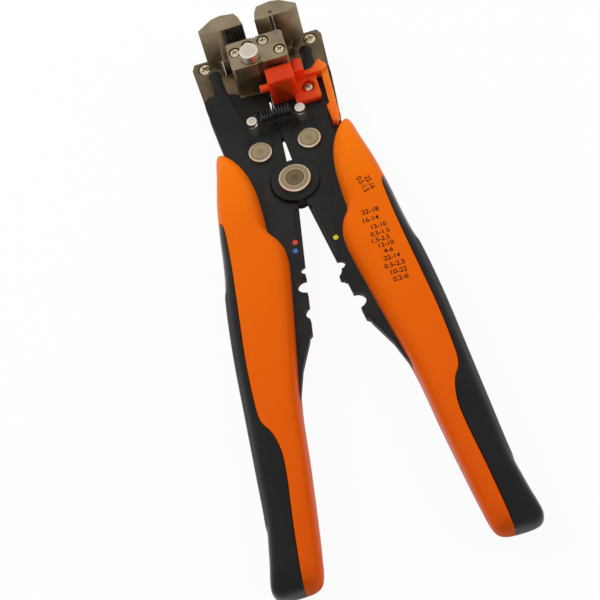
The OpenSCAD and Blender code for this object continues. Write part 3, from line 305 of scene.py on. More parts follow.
screw_zinc = plain_metal("zinc_plated_screw", "#b5a98a", "#d6ccb0", 0.2, 0.34, 0.1)
spring_wire = plain_metal("blackened_spring_wire", "#262626", "#444443", 0.14, 0.24, 0.1, 0.85)
lever_sheet = plain_metal("hardened_sheet_steel", "#625f59", "#7d7972", 0.3, 0.45, 0.12)
insert_steel = plain_metal("hardened_insert_steel", "#4d453a", "#6b6255", 0.3, 0.42, 0.1, 0.8)
blade_steel = plain_metal("ground_blade_steel", "#6f675b", "#8b8375", 0.25, 0.38, 0.1)

# %% [markdown]
# ## Moulded orange grips
#
# The grips are satin ABS, moulded over the steel. The colour is solid through the plastic, and
# a painted light falloff makes it lighter toward the top of the handle and deeper toward its foot.
# A polished mould leaves no grain, only a shallow unevenness of a few millimetres. A
# thin smooth coat with a low index mirrors little face on and much at a glancing angle, which
# draws a pale line along the edges.

# %% Orange ABS
orange_abs, tree, shader, place = new_material(
    "moulded_orange_abs", **{"IOR": 1.5, "Specular IOR Level": 0.0, "Coat Weight": 0.7,
                             "Coat IOR": 1.13, "Coat Roughness": 0.1})
cloud = add(tree, "ShaderNodeTexNoise", {"Vector": place, "Scale": 1 / (24.0 * MM), "Detail": 1.0})
drift = add(tree, "ShaderNodeMapRange", {"Value": cloud, **NOISE_RANGE, "To Min": -0.04, "To Max": 0.04})
# Painted light: the colour is lighter toward the top of the grip and deeper toward its foot
height = add(tree, "ShaderNodeMath", {0: along(tree, place, "Y", -139, 18), 1: drift}, operation="ADD")
orange = add(tree, "ShaderNodeValToRGB", {"Fac": height},
             [(0.0, "#da540a"), (0.45, "#e35f08"), (0.8, "#ea6a08"), (1.0, "#f67b0c")])
uneven = add(tree, "ShaderNodeTexNoise", {"Vector": place, "Scale": 1 / (3.0 * MM), "Detail": 0.0})
rough = add(tree, "ShaderNodeMapRange", {"Value": uneven, **NOISE_RANGE, "To Min": 0.25, "To Max": 0.31})
connect(tree, shader, {"Base Color": orange, "Roughness": rough})

# %% [markdown]
# ## Soft black overmould
#
# The outer side of each grip is thermoplastic rubber. It has an etched, leathery grain of about
# 0.3 mm, and handling has polished it, so it is dark face on and pale at a glancing angle.

# %% Black thermoplastic rubber
black_tpr, tree, shader, place = new_material(
    "black_thermoplastic_rubber", **{"IOR": 1.5, "Specular IOR Level": 0.05, "Coat Weight": 1.0,
                                     "Coat IOR": 1.22, "Coat Roughness": 0.12})
leather = add(tree, "ShaderNodeTexNoise", {"Vector": place, "Scale": 1 / (0.35 * MM), "Detail": 2.0})
soft = add(tree, "ShaderNodeTexNoise", {"Vector": place, "Scale": 1 / (12.0 * MM), "Detail": 2.0})
tint = add(tree, "ShaderNodeValToRGB", {"Fac": soft}, [(0.3, "#0b0b0b"), (0.7, "#131312")])
rough = add(tree, "ShaderNodeMapRange", {"Value": leather, **NOISE_RANGE, "To Min": 0.3, "To Max": 0.4})
relief = add(tree, "ShaderNodeBump", {"Height": leather, "Distance": 0.015 * MM, "Strength": 0.5})
connect(tree, shader, {"Base Color": tint, "Roughness": rough, "Normal": relief})

# %% [markdown]
# ## The tinted stop guard
#
# The guard is clear-tinted polycarbonate. Light enters it, scatters and leaves again, so thick
# parts look deep red-orange; subsurface scattering does that. The glow of the thin strip at the
# edge is painted into the colour by the place on the piece.

# %% Tinted polycarbonate
tinted_pc, tree, shader, place = new_material(
    "tinted_polycarbonate", **{"IOR": 1.58, "Specular IOR Level": 0.12, "Subsurface Weight": 1.0,
                               "Subsurface Radius": (1.0, 0.2, 0.04),
                               "Subsurface Scale": 5.0 * MM})
# Painted glow: the colour brightens to orange toward the thin strip at the edge
thin = along(tree, place, "X", -3.0, 20.5)
tint = add(tree, "ShaderNodeValToRGB", {"Fac": thin},
           [(0.0, "#ee5a1c"), (0.14, "#dc400f"), (0.5, "#d63a0d"), (0.75, "#e45010"),
            (0.92, "#f86c12"), (1.0, "#ff7c1a")])
# Painted light: the walls below the top, which lie in shade, get a stronger and brighter colour
wall = add(tree, "ShaderNodeValToRGB", {"Fac": thin},
           [(0.0, "#f8601c"), (0.14, "#ff4413"), (0.55, "#ff4413"), (0.75, "#f24c12"),
            (0.92, "#fb7012"), (1.0, "#ff801c")])
painted_light_below = along(tree, place, "Z", 23.95, 22.9)
painted_glow = add(tree, "ShaderNodeMix", {0: painted_light_below, 6: tint, 7: wall}, data_type="RGBA")
ripple = add(tree, "ShaderNodeTexNoise", {"Vector": place, "Scale": 1 / (1.6 * MM), "Detail": 1.0})
rough = add(tree, "ShaderNodeMapRange", {"Value": ripple, **NOISE_RANGE, "To Min": 0.16, "To Max": 0.24})
relief = add(tree, "ShaderNodeBump", {"Height": ripple, "Distance": 0.02 * MM, "Strength": 0.5})
connect(tree, shader, {"Base Color": painted_glow.outputs[2], "Roughness": rough, "Normal": relief})

# %% [markdown]
# ## Dress the CAD nodes that keep their shape
#
# A CAD node whose shape is right stays in the scene and only gets a finish. The record's
# material slot of each node says which.

# %% Finishes by slot
FINISHES = {
    "steel_black": black_oxide, "jaw_steel": jaw_steel, "rivet_steel": rivet_steel,
    "bright_steel": bright_steel, "screw_steel": screw_zinc, "grip_orange": orange_abs,
    "grip_black": black_tpr, "spring_black": spring_wire, "lever_steel": lever_sheet,
    "hard_insert": insert_steel, "blade_steel": blade_steel, "guard_red": tinted_pc,
}
OWN_FINISH = {"left_jaw_carrier": painted_shade_carrier_steel, "right_jaw_carrier": painted_shade_carrier_steel}
slot_of = {part["node"]: part["material_slot"] for part in frame["record"]["subparts"]}
body_of = {n: body for body, members in frame["record"]["behaviour"]["bodies"].items()
           for n in members}


def finish(node):
    """The material of a CAD node."""
    return OWN_FINISH.get(node, FINISHES[slot_of[node]])


def dress(piece, material):
    """One material over the whole piece."""
    piece.data.materials.clear()
    piece.data.materials.append(material)


for name, piece in nodes.items():
    dress(piece, finish(name))
print("dressed", len(nodes), "nodes")

# %% [markdown]
# ## Easing sharp edges
#
# A real edge is never perfectly sharp: blasting and tumbling round it, and the small radius
# catches a line of light. A copy of each such part gets its loose triangles merged and its flat
# areas joined, and then a Bevel modifier rounds every edge sharper than an angle.

# %% A copy with eased edges
FLAT_DEG, EDGE_DEG = 1.0, 32
MERGE = 1e-6


def plain_mesh(piece):
    """The evaluated piece as a plain mesh, with its modifiers removed."""
    graph = bpy.context.evaluated_depsgraph_get()
    mesh = bpy.data.meshes.new_from_object(piece.evaluated_get(graph))
    piece.modifiers.clear()
    piece.data = mesh


def put_on(piece, body, material):
    """Puts a finished piece on its body, with its finish."""
    dress(piece, material)
    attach(piece, body)


def stand_for(piece, material, *gone):
    """Replaces CAD nodes with a piece on the body of the first, with the given finish."""
    put_on(piece, body_of[gone[0]], material)
    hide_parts(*gone)


def smooth(mesh, sharp_deg):
    """Smooth shading, except over edges sharper than that angle."""
    mesh.shade_smooth()
    mesh.set_sharp_from_angle(angle=math.radians(sharp_deg))


def ease(node, width_mm):
    """Replaces a CAD node with a copy whose edges are rounded."""
    name = node + "_eased"
    work = bmesh.new()
    work.from_mesh(nodes[node].data)
    bmesh.ops.remove_doubles(work, verts=work.verts, dist=MERGE)
    bmesh.ops.dissolve_limit(work, angle_limit=math.radians(FLAT_DEG), verts=work.verts,
                             edges=work.edges, use_dissolve_boundaries=False)
    piece = placed(name, kept_mesh(name, work))
    bevel = piece.modifiers.new("ease", "BEVEL")
    bevel.width = width_mm * MM
    bevel.segments = 2
    bevel.limit_method = "ANGLE"
    bevel.angle_limit = math.radians(EDGE_DEG)
    bevel.use_clamp_overlap = False
    bevel.miter_outer = "MITER_ARC"
    bevel.harden_normals = True
    piece.data.shade_smooth()
    plain_mesh(piece)
    stand_for(piece, finish(node), node)
    print(name, len(piece.data.polygons), "faces")


# Which part, on each side where it has two, and the width of its rounded edges in mm
EASED_MM = {"lower_jaw": 0.12, "upper_jaw": 0.2, "jaw_carrier": 0.15, "plate": 0.15,
            "rear_plate": 0.15, "stop_guard": 0.2, "cam_lever": 0.12}
for part, width in EASED_MM.items():
    for node in (part, "left_" + part, "right_" + part):
        if node in nodes:
            ease(node, width)

# %% [markdown]
# ## The seam between the halves
#
# The two halves of the head lie against each other along one seam, and no light comes through
# it at rest. The CAD keeps them 0.4 mm apart so that they can swing, so the left half gets a
# thin facing in each place, which fills the seam but stays clear of the right half. The outer
# wall beside each beak gets one as well, which leaves the beak 0.2 mm to turn.

# %% Facings of the seam
SEAM = (-0.3, 0.185)
# Name, the ranges in x, y and z in mm, the finish and its slot
FACINGS = [
    ("jaw_facing", SEAM, (39.7, 50.9), (12.1, 26.3), jaw_steel, "jaw_steel"),
    ("carrier_facing", SEAM, (38.6, 57.8), (2.6, 11.9), painted_shade_carrier_steel, "jaw_steel"),
    ("plate_facing", SEAM, (18.6, 30.0), (9.05, 11.95), black_oxide, "steel_black"),
    ("left_wall_facing", (-12.62, -12.3), (49.6, 58.2), (2.6, 11.9), painted_shade_carrier_steel, "jaw_steel"),
    ("right_wall_facing", (12.3, 12.62), (49.6, 58.2), (2.6, 11.9), painted_shade_carrier_steel, "jaw_steel"),
]
for name, (x0, x1), (y0, y1), (z0, z1), material, slot in FACINGS:
    work = bmesh.new()
    bmesh.ops.create_cube(work, size=1.0)
    span = Vector((x1 - x0, y1 - y0, z1 - z0)) * MM
    middle = Vector((x1 + x0, y1 + y0, z1 + z0)) * MM / 2
    for vertex in work.verts:
        vertex.co = Vector(c * s for c, s in zip(vertex.co, span)) + middle
    facing = placed(name, kept_mesh(name, work))
    put_on(facing, "left_lever" if x0 < 0 else "right_lever", material)
print("facings:", len(FACINGS))

# %% [markdown]
# ## Turned parts
#
# A rivet, a post and a knob are all made by turning a profile about an axis. The profile is a
# list of radius and height, drawn with its rounded corners already in it, and spun in steps
# small enough that the rim looks round.

# %% Spinning a profile
TURN_STEPS = 72


def corner(cx, cz, r, n=5):
    """Points of a quarter round about (cx, cz), from its side to its top."""
    angles = [math.radians(90 * i / n) for i in range(n + 1)]
    return [(cx + r * math.cos(a), cz + r * math.sin(a)) for a in angles]


def turned(name, profile, x, y, steps=TURN_STEPS):
    """A closed solid of revolution about the Z axis through (x, y), from (radius, height) in mm."""
    lengths = np.cumsum([0] + [math.dist(a, b) for a, b in zip(profile, profile[1:])])
    work = bmesh.new()
    along_profile = work.verts.layers.float.new("turned")
    reach = work.verts.layers.float.new("reach")
    widest = max(r for r, _ in profile)
    rings = []
    for (r, z), run in zip(profile, lengths):
        count = 1 if r < 1e-6 else steps
        ring = []
        for k in range(count):
            a = 2 * math.pi * k / steps
            vertex = work.verts.new(((x + r * math.cos(a)) * MM, (y + r * math.sin(a)) * MM, z * MM))
            vertex[along_profile], vertex[reach] = run * MM, r / widest
            ring.append(vertex)
        rings.append(ring)
    for low, high in zip(rings, rings[1:]):
        for k in range(steps):
            m = (k + 1) % steps
            loop = [low[k % len(low)], low[m % len(low)], high[m % len(high)], high[k % len(high)]]
            unique = [v for i, v in enumerate(loop) if v not in loop[:i]]
            if len(unique) > 2:
                work.faces.new(unique)
    bmesh.ops.recalc_face_normals(work, faces=work.faces)
    mesh = kept_mesh(name, work)
    smooth(mesh, 30)
    return placed(name, mesh)


# %% [markdown]
# ## The three rivets
#
# The main pivot is the large rivet, and a smaller one carries each cam lever. Their front faces
# are dished inside a rounded rim, and the large one has a raised ring round its darker middle,
# which is what makes them read as nickel buttons against the black plates.

# %% Rivets
PLATE_FRONT, PLATE_BACK = 12.0, 9.0
PIVOT_R, LEVER_R = 5.4, 4.0
LEVER_X, LEVER_Y = 8.4, 14.4


def rivet_profile(r, seat, height, shank_r, back_z, back_r, back_h, ring=None):
    """Profile of a rivet from the back to its dished front, with or without a raised ring."""
    top = seat + height
    rim = height * 0.4
    rows = [(0, back_z), (back_r * 0.85, back_z), (back_r, back_z + back_h),
            (shank_r, back_z + back_h), (shank_r, seat), (r - 0.08, seat), (r, seat + 0.08)]
    rows += corner(r - rim, top - rim, rim, 7)
    rows += [(r * 0.87, top - 0.02), (r * 0.82, top - 0.12)]
    if ring:
        rows += [(r * (ring + 0.05), top - 0.14), (r * (ring + 0.01), top - 0.07),
                 (r * (ring - 0.02), top - 0.07), (r * (ring - 0.07), top - 0.18), (r * 0.3, top - 0.24)]
    return rows + [(0, top - 0.26)]


main_rivet = turned("main_rivet", rivet_profile(PIVOT_R, PLATE_FRONT + 1, 1.5, shank_r=3.0, back_z=0.0,
                                                back_r=3.6, back_h=2.5, ring=0.62), 0, 0, 96)
stand_for(main_rivet, pivot_steel, "main_pivot")
for side, body in SIDES:
    profile = rivet_profile(LEVER_R, PLATE_FRONT, 1.5, shank_r=2.0, back_z=1.3, back_r=3.4, back_h=1.2)
    rivet = turned(body + "_lever_rivet", profile, side * LEVER_X, LEVER_Y)
    stand_for(rivet, rivet_steel, body + "_lever_pin")

# %% [markdown]
# ## Spring posts and the adjuster knob
#
# The posts have a groove that holds the hooks of the return spring. The left one still shows
# the lathe's centre in its end. The knob is a plain turned cap on a thin stem.

# %% Posts and knob
POST_X, POST_Y, POST_R, POST_END = 8.2, 23.8, 1.75, 18.3
TENON_R, GROOVE_R, POST_ROUND = 1.22, 1.4, 0.3
GROOVE_LOW, GROOVE_HIGH, GROOVE_SLOPE = 16.83, 17.53, 0.35
STEM_R, CAP_R, CAP_ROUND = 1.55, 3.1, 0.35
CAP_SEAT, CAP_CHAMFER = 26.5, 0.5


def post_profile(dimple):
    """Grooved post from the plate to its end, with or without the lathe's centre."""
    end = POST_END
    rows = [(0, PLATE_BACK), (TENON_R, PLATE_BACK), (TENON_R, PLATE_FRONT), (POST_R, PLATE_FRONT),
            (POST_R, GROOVE_LOW - GROOVE_SLOPE), (GROOVE_R, GROOVE_LOW), (GROOVE_R, GROOVE_HIGH),
            (POST_R, GROOVE_HIGH + GROOVE_SLOPE)]
    rows += corner(POST_R - POST_ROUND, end - POST_ROUND, POST_ROUND)
    return rows + ([(0.75, end), (0.6, end - 0.25), (0, end - 0.45)] if dimple else [(0, end)])


for side, body in SIDES:
    post = turned(body + "_post", post_profile(side < 0), side * POST_X, POST_Y, 48)
    stand_for(post, bright_steel, body + "_spring_post")

knob_low, knob_high = (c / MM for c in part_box("adjuster_knob"))
knob_x, knob_y = ((knob_low[i] + knob_high[i]) / 2 for i in (0, 1))
knob_top = knob_high[2]
knob_rows = [(0, knob_low[2]), (STEM_R, knob_low[2]), (STEM_R, CAP_SEAT),
             (CAP_R - CAP_CHAMFER, CAP_SEAT), (CAP_R, CAP_SEAT + CAP_CHAMFER)]
knob_rows += corner(CAP_R - CAP_ROUND, knob_top - CAP_ROUND, CAP_ROUND)
knob_rows += [(2.0, knob_top), (0, knob_top)]
knob = turned("knob_cap", knob_rows, knob_x, knob_y, 64)
stand_for(knob, bright_steel, "adjuster_knob")
print("knob from", round(knob_low[2], 2), "to", round(knob_top, 2))

# %% [markdown]
# ## The grips as one smooth loft
#
# A grip is a row of cross-sections, and each section is a superellipse: a rounded rectangle
# whose squareness is one power. The tables below say, for shares of the grip's length, where
# its inner and outer edge run, how thick it is and how square. A smooth curve through the rows
# gives as many sections as the surface needs, close together where it turns quickly.
#
# The soft pad takes the outer part of each section. Where the pad's edge crosses a section, the
# ring is split in two: the orange shell keeps the inner arc and the pad the outer one, and both
# turn down into a narrow V, so that the joint reads as a fine dark line.

# %% Tables of the grip
GRIP_TOP, GRIP_LEN, GRIP_REACH, GRIP_T = 17.7, 156.7, 41.0, 20.0
# Share of the length, then inner edge, outer edge and thickness as shares
GRIP_ROWS = [
    (0, 0.51, 0.548, 0.24), (0.0035, 0.488, 0.563, 0.37), (0.0135, 0.454, 0.577, 0.5),
    (0.0295, 0.414, 0.589, 0.63), (0.0492, 0.378, 0.602, 0.74), (0.0724, 0.35, 0.62, 0.83),
    (0.0991, 0.332, 0.641, 0.9), (0.1312, 0.323, 0.664, 0.95), (0.1883, 0.323, 0.694, 0.99),
    (0.2144, 0.326, 0.706, 1), (0.2372, 0.3, 0.715, 1), (0.253, 0.259, 0.722, 1),
    (0.27, 0.235, 0.73, 1), (0.286, 0.228, 0.738, 1), (0.31, 0.235, 0.751, 1),
    (0.3406, 0.252, 0.771, 1), (0.4162, 0.302, 0.805, 1), (0.5049, 0.364, 0.834, 1),
    (0.6199, 0.444, 0.859, 1), (0.7278, 0.49, 0.883, 0.98), (0.8417, 0.544, 0.91, 0.92),
    (0.9, 0.573, 0.945, 0.86), (0.9304, 0.59, 0.967, 0.82), (0.955, 0.604, 0.988, 0.77),
    (0.972, 0.62, 0.998, 0.69), (0.982, 0.638, 0.99, 0.6), (0.989, 0.668, 0.965, 0.44),
    (0.9925, 0.7, 0.93, 0.26),
]
# Squareness of the section: low is round, high is boxy
POWER_ROWS = [(0, 2.1), (0.06, 2.4), (0.2, 3.1), (0.4, 3.7), (0.8, 3.7), (0.9925, 2.8)]
# Share of the length, then the edge of the pad as a share of the reach
PAD_ROWS = [
    (0.168, 0.72), (0.195, 0.647), (0.2639, 0.652), (0.3547, 0.682), (0.4354, 0.714),
    (0.516, 0.744), (0.5967, 0.76), (0.6521, 0.755), (0.6874, 0.692), (0.7278, 0.662),
    (0.7782, 0.67), (0.879, 0.718), (1.02, 0.778),
]


def through(rows, per_row=40):
    """A dense table along the smooth curve through the rows."""
    p = np.array(rows, float)
    n = len(p) - 1
    t = np.linspace(0, n, n * per_row + 1)
    i = np.minimum(t.astype(int), n - 1)
    u = (t - i)[:, None]
    p0, p1, p2, p3 = p[np.maximum(i - 1, 0)], p[i], p[i + 1], p[np.minimum(i + 2, n)]
    return p1 + u / 2 * (p2 - p0 + u * (2 * p0 - 5 * p1 + 4 * p2 - p3 + u * (3 * (p1 - p2) + p3 - p0)))


grip_table, pad_table = through(GRIP_ROWS), through(PAD_ROWS)


def section(share):
    """Middle, half width, half thickness in mm and squareness of the grip at a share of its length."""
    inner, outer, thick = (np.interp(share, grip_table[:, 0], grip_table[:, k]) for k in (1, 2, 3))
    power = np.interp(share, *zip(*POWER_ROWS))
    return (inner + outer) / 2 * GRIP_REACH, (outer - inner) / 2 * GRIP_REACH, thick * GRIP_T / 2, power


def surface_z(x, share):
    """Height of the grip's front above the tool's back at x mm from the centre line."""
    mid, half_w, half_t, power = section(share)
    out = np.clip(abs((x - mid) / half_w), 0, 1)
    return GRIP_T / 2 + half_t * (1 - out**power) ** (1 / power)


# %% Sections and lofts
FULL_TURN = np.linspace(-np.pi, np.pi, 721)[:-1]
LIP, LIP_DEPTH, JOINT_GAP = 0.2, 0.3, 0.03
SHELL_POINTS, PAD_POINTS, WALL_POINTS = 72, 44, 14


def resampled(points, count):
    """The same line with points at equal distances."""
    run = np.concatenate([[0], np.cumsum(np.linalg.norm(np.diff(points, axis=0), axis=1))])
    at = np.linspace(0, run[-1], count)
    return np.stack([np.interp(at, run, points[:, k]) for k in range(points.shape[1])], 1)


def arc(share, edge, outside):
    """The inner or outer arc of a section, split where its x is edge, from front to back."""
    mid, half_w, half_t, power = section(share)
    cut = min(max((edge - mid) / half_w, -0.999), 0.999)
    turns = FULL_TURN[::-1] if outside else FULL_TURN % (2 * np.pi)
    turns = turns if outside else np.sort(turns)
    unit = np.stack([np.sign(f) * abs(f) ** (2 / power) for f in (np.cos(turns), np.sin(turns))], 1)
    side = unit[unit[:, 0] > cut] if outside else unit[unit[:, 0] <= cut]
    height = (1 - abs(cut) ** power) ** (1 / power)
    line = np.concatenate([[(cut, height)], side, [(cut, -height)]])
    return line * (half_w, half_t) + (mid, GRIP_T / 2)


def joint_wall(line, x):
    """The flat side at x between the turned-in ends of an arc."""
    top, low = line[0, 1] - LIP_DEPTH, line[-1, 1] + LIP_DEPTH
    return np.stack([np.full(WALL_POINTS, x), np.linspace(low, top, WALL_POINTS)], 1)


def shell_ring(share, edge):
    """Section of the orange shell: its arc, then the wall that the pad lies against."""
    mid, half_w, _, _ = section(share)
    if edge is None:
        split = mid + 0.97 * half_w
        line = resampled(arc(share, split, False), SHELL_POINTS)
        wall = resampled(arc(share, split, True)[::-1], WALL_POINTS + 2)[1:-1]
        return np.concatenate([line, wall])
    line = resampled(arc(share, edge - LIP, False), SHELL_POINTS)
    return np.concatenate([line, joint_wall(line, edge - JOINT_GAP)])


def pad_ring(share, edge):
    """Section of the soft pad: its arc, then its flat inner side."""
    line = resampled(arc(share, edge + LIP, True), PAD_POINTS)
    return np.concatenate([line, joint_wall(line, edge + JOINT_GAP)])


def loft(name, rings, heights, side, marks=None):
    """A closed mesh through rings of (x, z) mm at heights y mm: side -1 puts it on the left."""
    count = len(rings[0])
    points = np.array([[(side * x, y, z) for x, z in ring] for ring, y in zip(rings, heights)])
    ends = [points[0].mean(0), points[-1].mean(0)]
    vertices = np.concatenate([points.reshape(-1, 3), ends]) * MM
    first, last = len(points) * count, len(points) * count + 1
    faces = []
    for i in range(len(points) - 1):
        for j in range(count):
            k = (j + 1) % count
            faces.append((i * count + j, i * count + k, (i + 1) * count + k, (i + 1) * count + j))
    base = (len(points) - 1) * count
    for j in range(count):
        k = (j + 1) % count
        faces += [(first, k, j), (last, base + j, base + k)]
    mesh = bpy.data.meshes.new(name)
    mesh.from_pydata(vertices.tolist(), [], faces)
    for key, values in (marks or {}).items():
        layer = mesh.attributes.new(key, "FLOAT", "POINT")
        layer.data.foreach_set("value", np.concatenate([np.ravel(values), [0, 0]]).astype(np.float32))
    work = bmesh.new()
    work.from_mesh(mesh)
    bmesh.ops.recalc_face_normals(work, faces=work.faces)
    work.to_mesh(mesh)
    work.free()
    smooth(mesh, 50)
    return placed(name, mesh)


# %% Two shells
def rows_between(marks, steps_mm):
    """Heights from the top down, with its own step between each pair of marks."""
    rows = [np.arange(a, b, -step) for a, b, step in zip(marks, marks[1:], steps_mm)]
    return np.append(np.concatenate(rows), marks[-1])


def share_at(y):
    return (GRIP_TOP - y) / GRIP_LEN


def edge_at(share):
    """Where the pad starts at that share, or nothing above the pad."""
    if share < PAD_ROWS[0][0]:
        return None
    edge = np.interp(share, pad_table[:, 0], pad_table[:, 1]) * GRIP_REACH
    mid, half_w, _, _ = section(share)
    return edge if edge < mid + 0.95 * half_w else None


GRIP_END = GRIP_TOP - GRIP_ROWS[-1][0] * GRIP_LEN
shell_y = rows_between([GRIP_TOP, 16.0, -8.0, -16.0, -80.0, -100.0, -132.0, GRIP_END],
                       [0.1, 0.8, 0.15, 0.8, 0.4, 0.8, 0.25])
shell_rings = [shell_ring(share_at(y), edge_at(share_at(y))) for y in shell_y]
for side, body in SIDES:
    shell = loft(body + "_shell", shell_rings, shell_y, side)
    stand_for(shell, orange_abs, body + "_grip")
print("shell:", len(shell.data.polygons), "faces")

# %% [markdown]
# ## Ribs on the soft pads
#
# The outer side of each pad has fine cross ribs that a palm can hold. The pad is lofted with
# rows close enough to carry them, and two attributes on its points say how far along the pad a
# point lies and how much it belongs to the ribbed side. A Geometry Nodes tree turns the first
# into a wave and lifts each point along its normal by the wave times the second.

# %% Pads with their two attributes
RIB_PITCH, RIB_HEIGHT = 1.0, 0.4
RIB_FROM, RIB_TO = -34.0, -119.0
pad_start = next(y for y in np.arange(-8.0, -20.0, -0.05) if edge_at(share_at(y)) is not None)
pad_y = rows_between([pad_start, pad_start - 4, RIB_FROM, RIB_TO, -132.0, GRIP_END],
                     [0.15, 0.8, RIB_PITCH / 6, 0.8, 0.25])
pad_rings = [pad_ring(share_at(y), edge_at(share_at(y))) for y in pad_y]


def eased_step(value):
    """A step from 0 to 1 with soft ends."""
    value = np.clip(value, 0, 1)
    return value * value * (3 - 2 * value)


def side_mask(ring, y):
    """One on the outer side between the ends of the ribs, and nothing on the faces."""
    mid, half_w, _, _ = section(share_at(y))
    out = eased_step(((ring[:, 0] - mid) / half_w - 0.86) / 0.1)
    return out * eased_step((RIB_FROM - y) / 4) * eased_step((y - RIB_TO) / 4)


masks = np.array([side_mask(ring, y) for ring, y in zip(pad_rings, pad_y)])
runs = np.repeat(pad_y[:, None], len(pad_rings[0]), 1)


# %% A Geometry Nodes tree in the script
def new_tree(name, *sockets):
    """A node tree with a geometry in and out and more named inputs, and the inputs' sockets."""
    tree = bpy.data.node_groups.new(name, "GeometryNodeTree")
    tree.interface.new_socket("Geometry", in_out="INPUT", socket_type="NodeSocketGeometry")
    for label, kind in sockets:
        tree.interface.new_socket(label, in_out="INPUT", socket_type="NodeSocket" + kind)
    tree.interface.new_socket("Geometry", in_out="OUTPUT", socket_type="NodeSocketGeometry")
    return tree, add(tree, "NodeGroupInput").outputs


def close_tree(tree, geometry, material):
    """Ends a tree in Realize Instances and Set Material."""
    real = add(tree, "GeometryNodeRealizeInstances", {"Geometry": geometry})
    dressed = add(tree, "GeometryNodeSetMaterial", {"Geometry": real, "Material": material})
    add(tree, "NodeGroupOutput", {"Geometry": dressed})


def grow(piece, tree, **values):
    """Runs a tree on a piece with those inputs and leaves a plain mesh."""
    modifier = piece.modifiers.new(tree.name, "NODES")
    modifier.node_group = tree
    sockets = {item.name: item.identifier for item in tree.interface.items_tree
               if item.in_out == "INPUT"}
    for label, value in values.items():
        modifier[sockets[label]] = value
    plain_mesh(piece)


# %% The tree of the ribs
ribs, given = new_tree("ribs", ("Pitch", "Float"), ("Height", "Float"), ("Material", "Material"))
run, on_side = (add(ribs, "GeometryNodeInputNamedAttribute", {"Name": key}) for key in ("run", "side"))
turns = add(ribs, "ShaderNodeMath", {0: run, 1: given["Pitch"]}, operation="DIVIDE")
wave = add(ribs, "ShaderNodeMath", {0: turns, 1: 0.5}, operation="PINGPONG")
steep = add(ribs, "ShaderNodeMath", {0: wave, 1: 3.2}, operation="MULTIPLY")
crest = add(ribs, "ShaderNodeMath", {0: steep, 1: 1.0, 2: 0.5}, operation="SMOOTH_MIN")
high = add(ribs, "ShaderNodeMath", {0: crest, 1: given["Height"]}, operation="MULTIPLY")
lift = add(ribs, "ShaderNodeMath", {0: high, 1: on_side}, operation="MULTIPLY")
normal = add(ribs, "GeometryNodeInputNormal")
offset = add(ribs, "ShaderNodeVectorMath", {0: normal, "Scale": lift}, operation="SCALE")
moved = add(ribs, "GeometryNodeSetPosition", {"Geometry": given["Geometry"], "Offset": offset})
close_tree(ribs, moved, given["Material"])

for side, body in SIDES:
    pad = loft(body + "_pad", pad_rings, pad_y, side, {"run": runs, "side": masks})
    grow(pad, ribs, Pitch=RIB_PITCH, Height=RIB_HEIGHT * MM, Material=black_tpr)
    stand_for(pad, black_tpr, body + "_grip_pad")
print("pad:", len(pad.data.polygons), "faces with ribs from", RIB_FROM, "to", RIB_TO)

# %% [markdown]
# ## Cross-head screws, placed by Geometry Nodes
#
# One head is drawn once: a low dome with a crossed recess, one unit in radius. A tree puts it
# at every point of a small mesh, scales it by the point's size and turns it by the point's
# turn, because no two screws stop at the same angle. The tree also makes the shank, which is a
# cylinder as long as the point says.

# %% The head of a screw
HEAD_SIDES = 32


def cross_head(name, dome=0.62, recess=0.42):
    """A closed screw head of radius 1 with a crossed recess: its seat is at 0, and it faces +Z."""
    work = bmesh.new()

    def ring(r, z):
        angles = [2 * math.pi * k / HEAD_SIDES for k in range(HEAD_SIDES)]
        return [work.verts.new((r * math.cos(a), r * math.sin(a), z)) for a in angles]

    def skin(low, high):
        n = len(low)
        for k in range(n):
            work.faces.new((low[k], low[(k + 1) % n], high[(k + 1) % n], high[k]))

    rows = [ring(1, 0), ring(1, dome * 0.42), ring(0.95, dome * 0.66), ring(0.84, dome * 0.86),
            ring(0.7, dome * 0.97)]
    work.faces.new(list(reversed(rows[0])))
    for low, high in zip(rows, rows[1:]):
        skin(low, high)
    long, half, inner = 0.58, 0.12, 0.15
    arm = [(long, -half), (long, half), (inner, inner)]
    outline = []
    for _ in range(4):
        outline += arm
        arm = [(-y, x) for x, y in arm]
    top = [work.verts.new((x, y, dome)) for x, y in outline]
    pit = [work.verts.new((x * 0.62, y * 0.8, dome - recess)) for x, y in outline]
    skin(pit, top)
    work.faces.new(pit)
    edges = [work.edges.get(pair) for loop in (rows[-1], top) for pair in zip(loop, loop[1:] + loop[:1])]
    bmesh.ops.triangle_fill(work, edges=edges, use_beauty=True)
    bmesh.ops.recalc_face_normals(work, faces=work.faces)
    mesh = kept_mesh(name, work)
    smooth(mesh, 32)
    return bpy.data.objects.new(name, mesh)


head_pattern = cross_head("screw_head_pattern")
print("one head:", len(head_pattern.data.polygons), "faces")

# %% The tree of the fasteners
fasteners, given = new_tree("fasteners", ("Head", "Object"), ("Material", "Material"))
size, turn, deep = (add(fasteners, "GeometryNodeInputNamedAttribute", {"Name": key})
                    for key in ("size", "turn", "length"))
spin = add(fasteners, "ShaderNodeCombineXYZ", {"Z": turn})
even = add(fasteners, "ShaderNodeCombineXYZ", {"X": size, "Y": size, "Z": size})
slim = add(fasteners, "ShaderNodeMath", {0: size, 1: 0.55}, operation="MULTIPLY")
thin = add(fasteners, "ShaderNodeCombineXYZ", {"X": slim, "Y": slim, "Z": deep})
heads = add(fasteners, "GeometryNodeObjectInfo", {"Object": given["Head"]})
heads = add(fasteners, "GeometryNodeInstanceOnPoints",
            {"Points": given["Geometry"], "Instance": heads.outputs["Geometry"],
             "Rotation": spin, "Scale": even})
rod = add(fasteners, "GeometryNodeMeshCylinder", {"Vertices": 16, "Radius": 1.0, "Depth": 1.0})
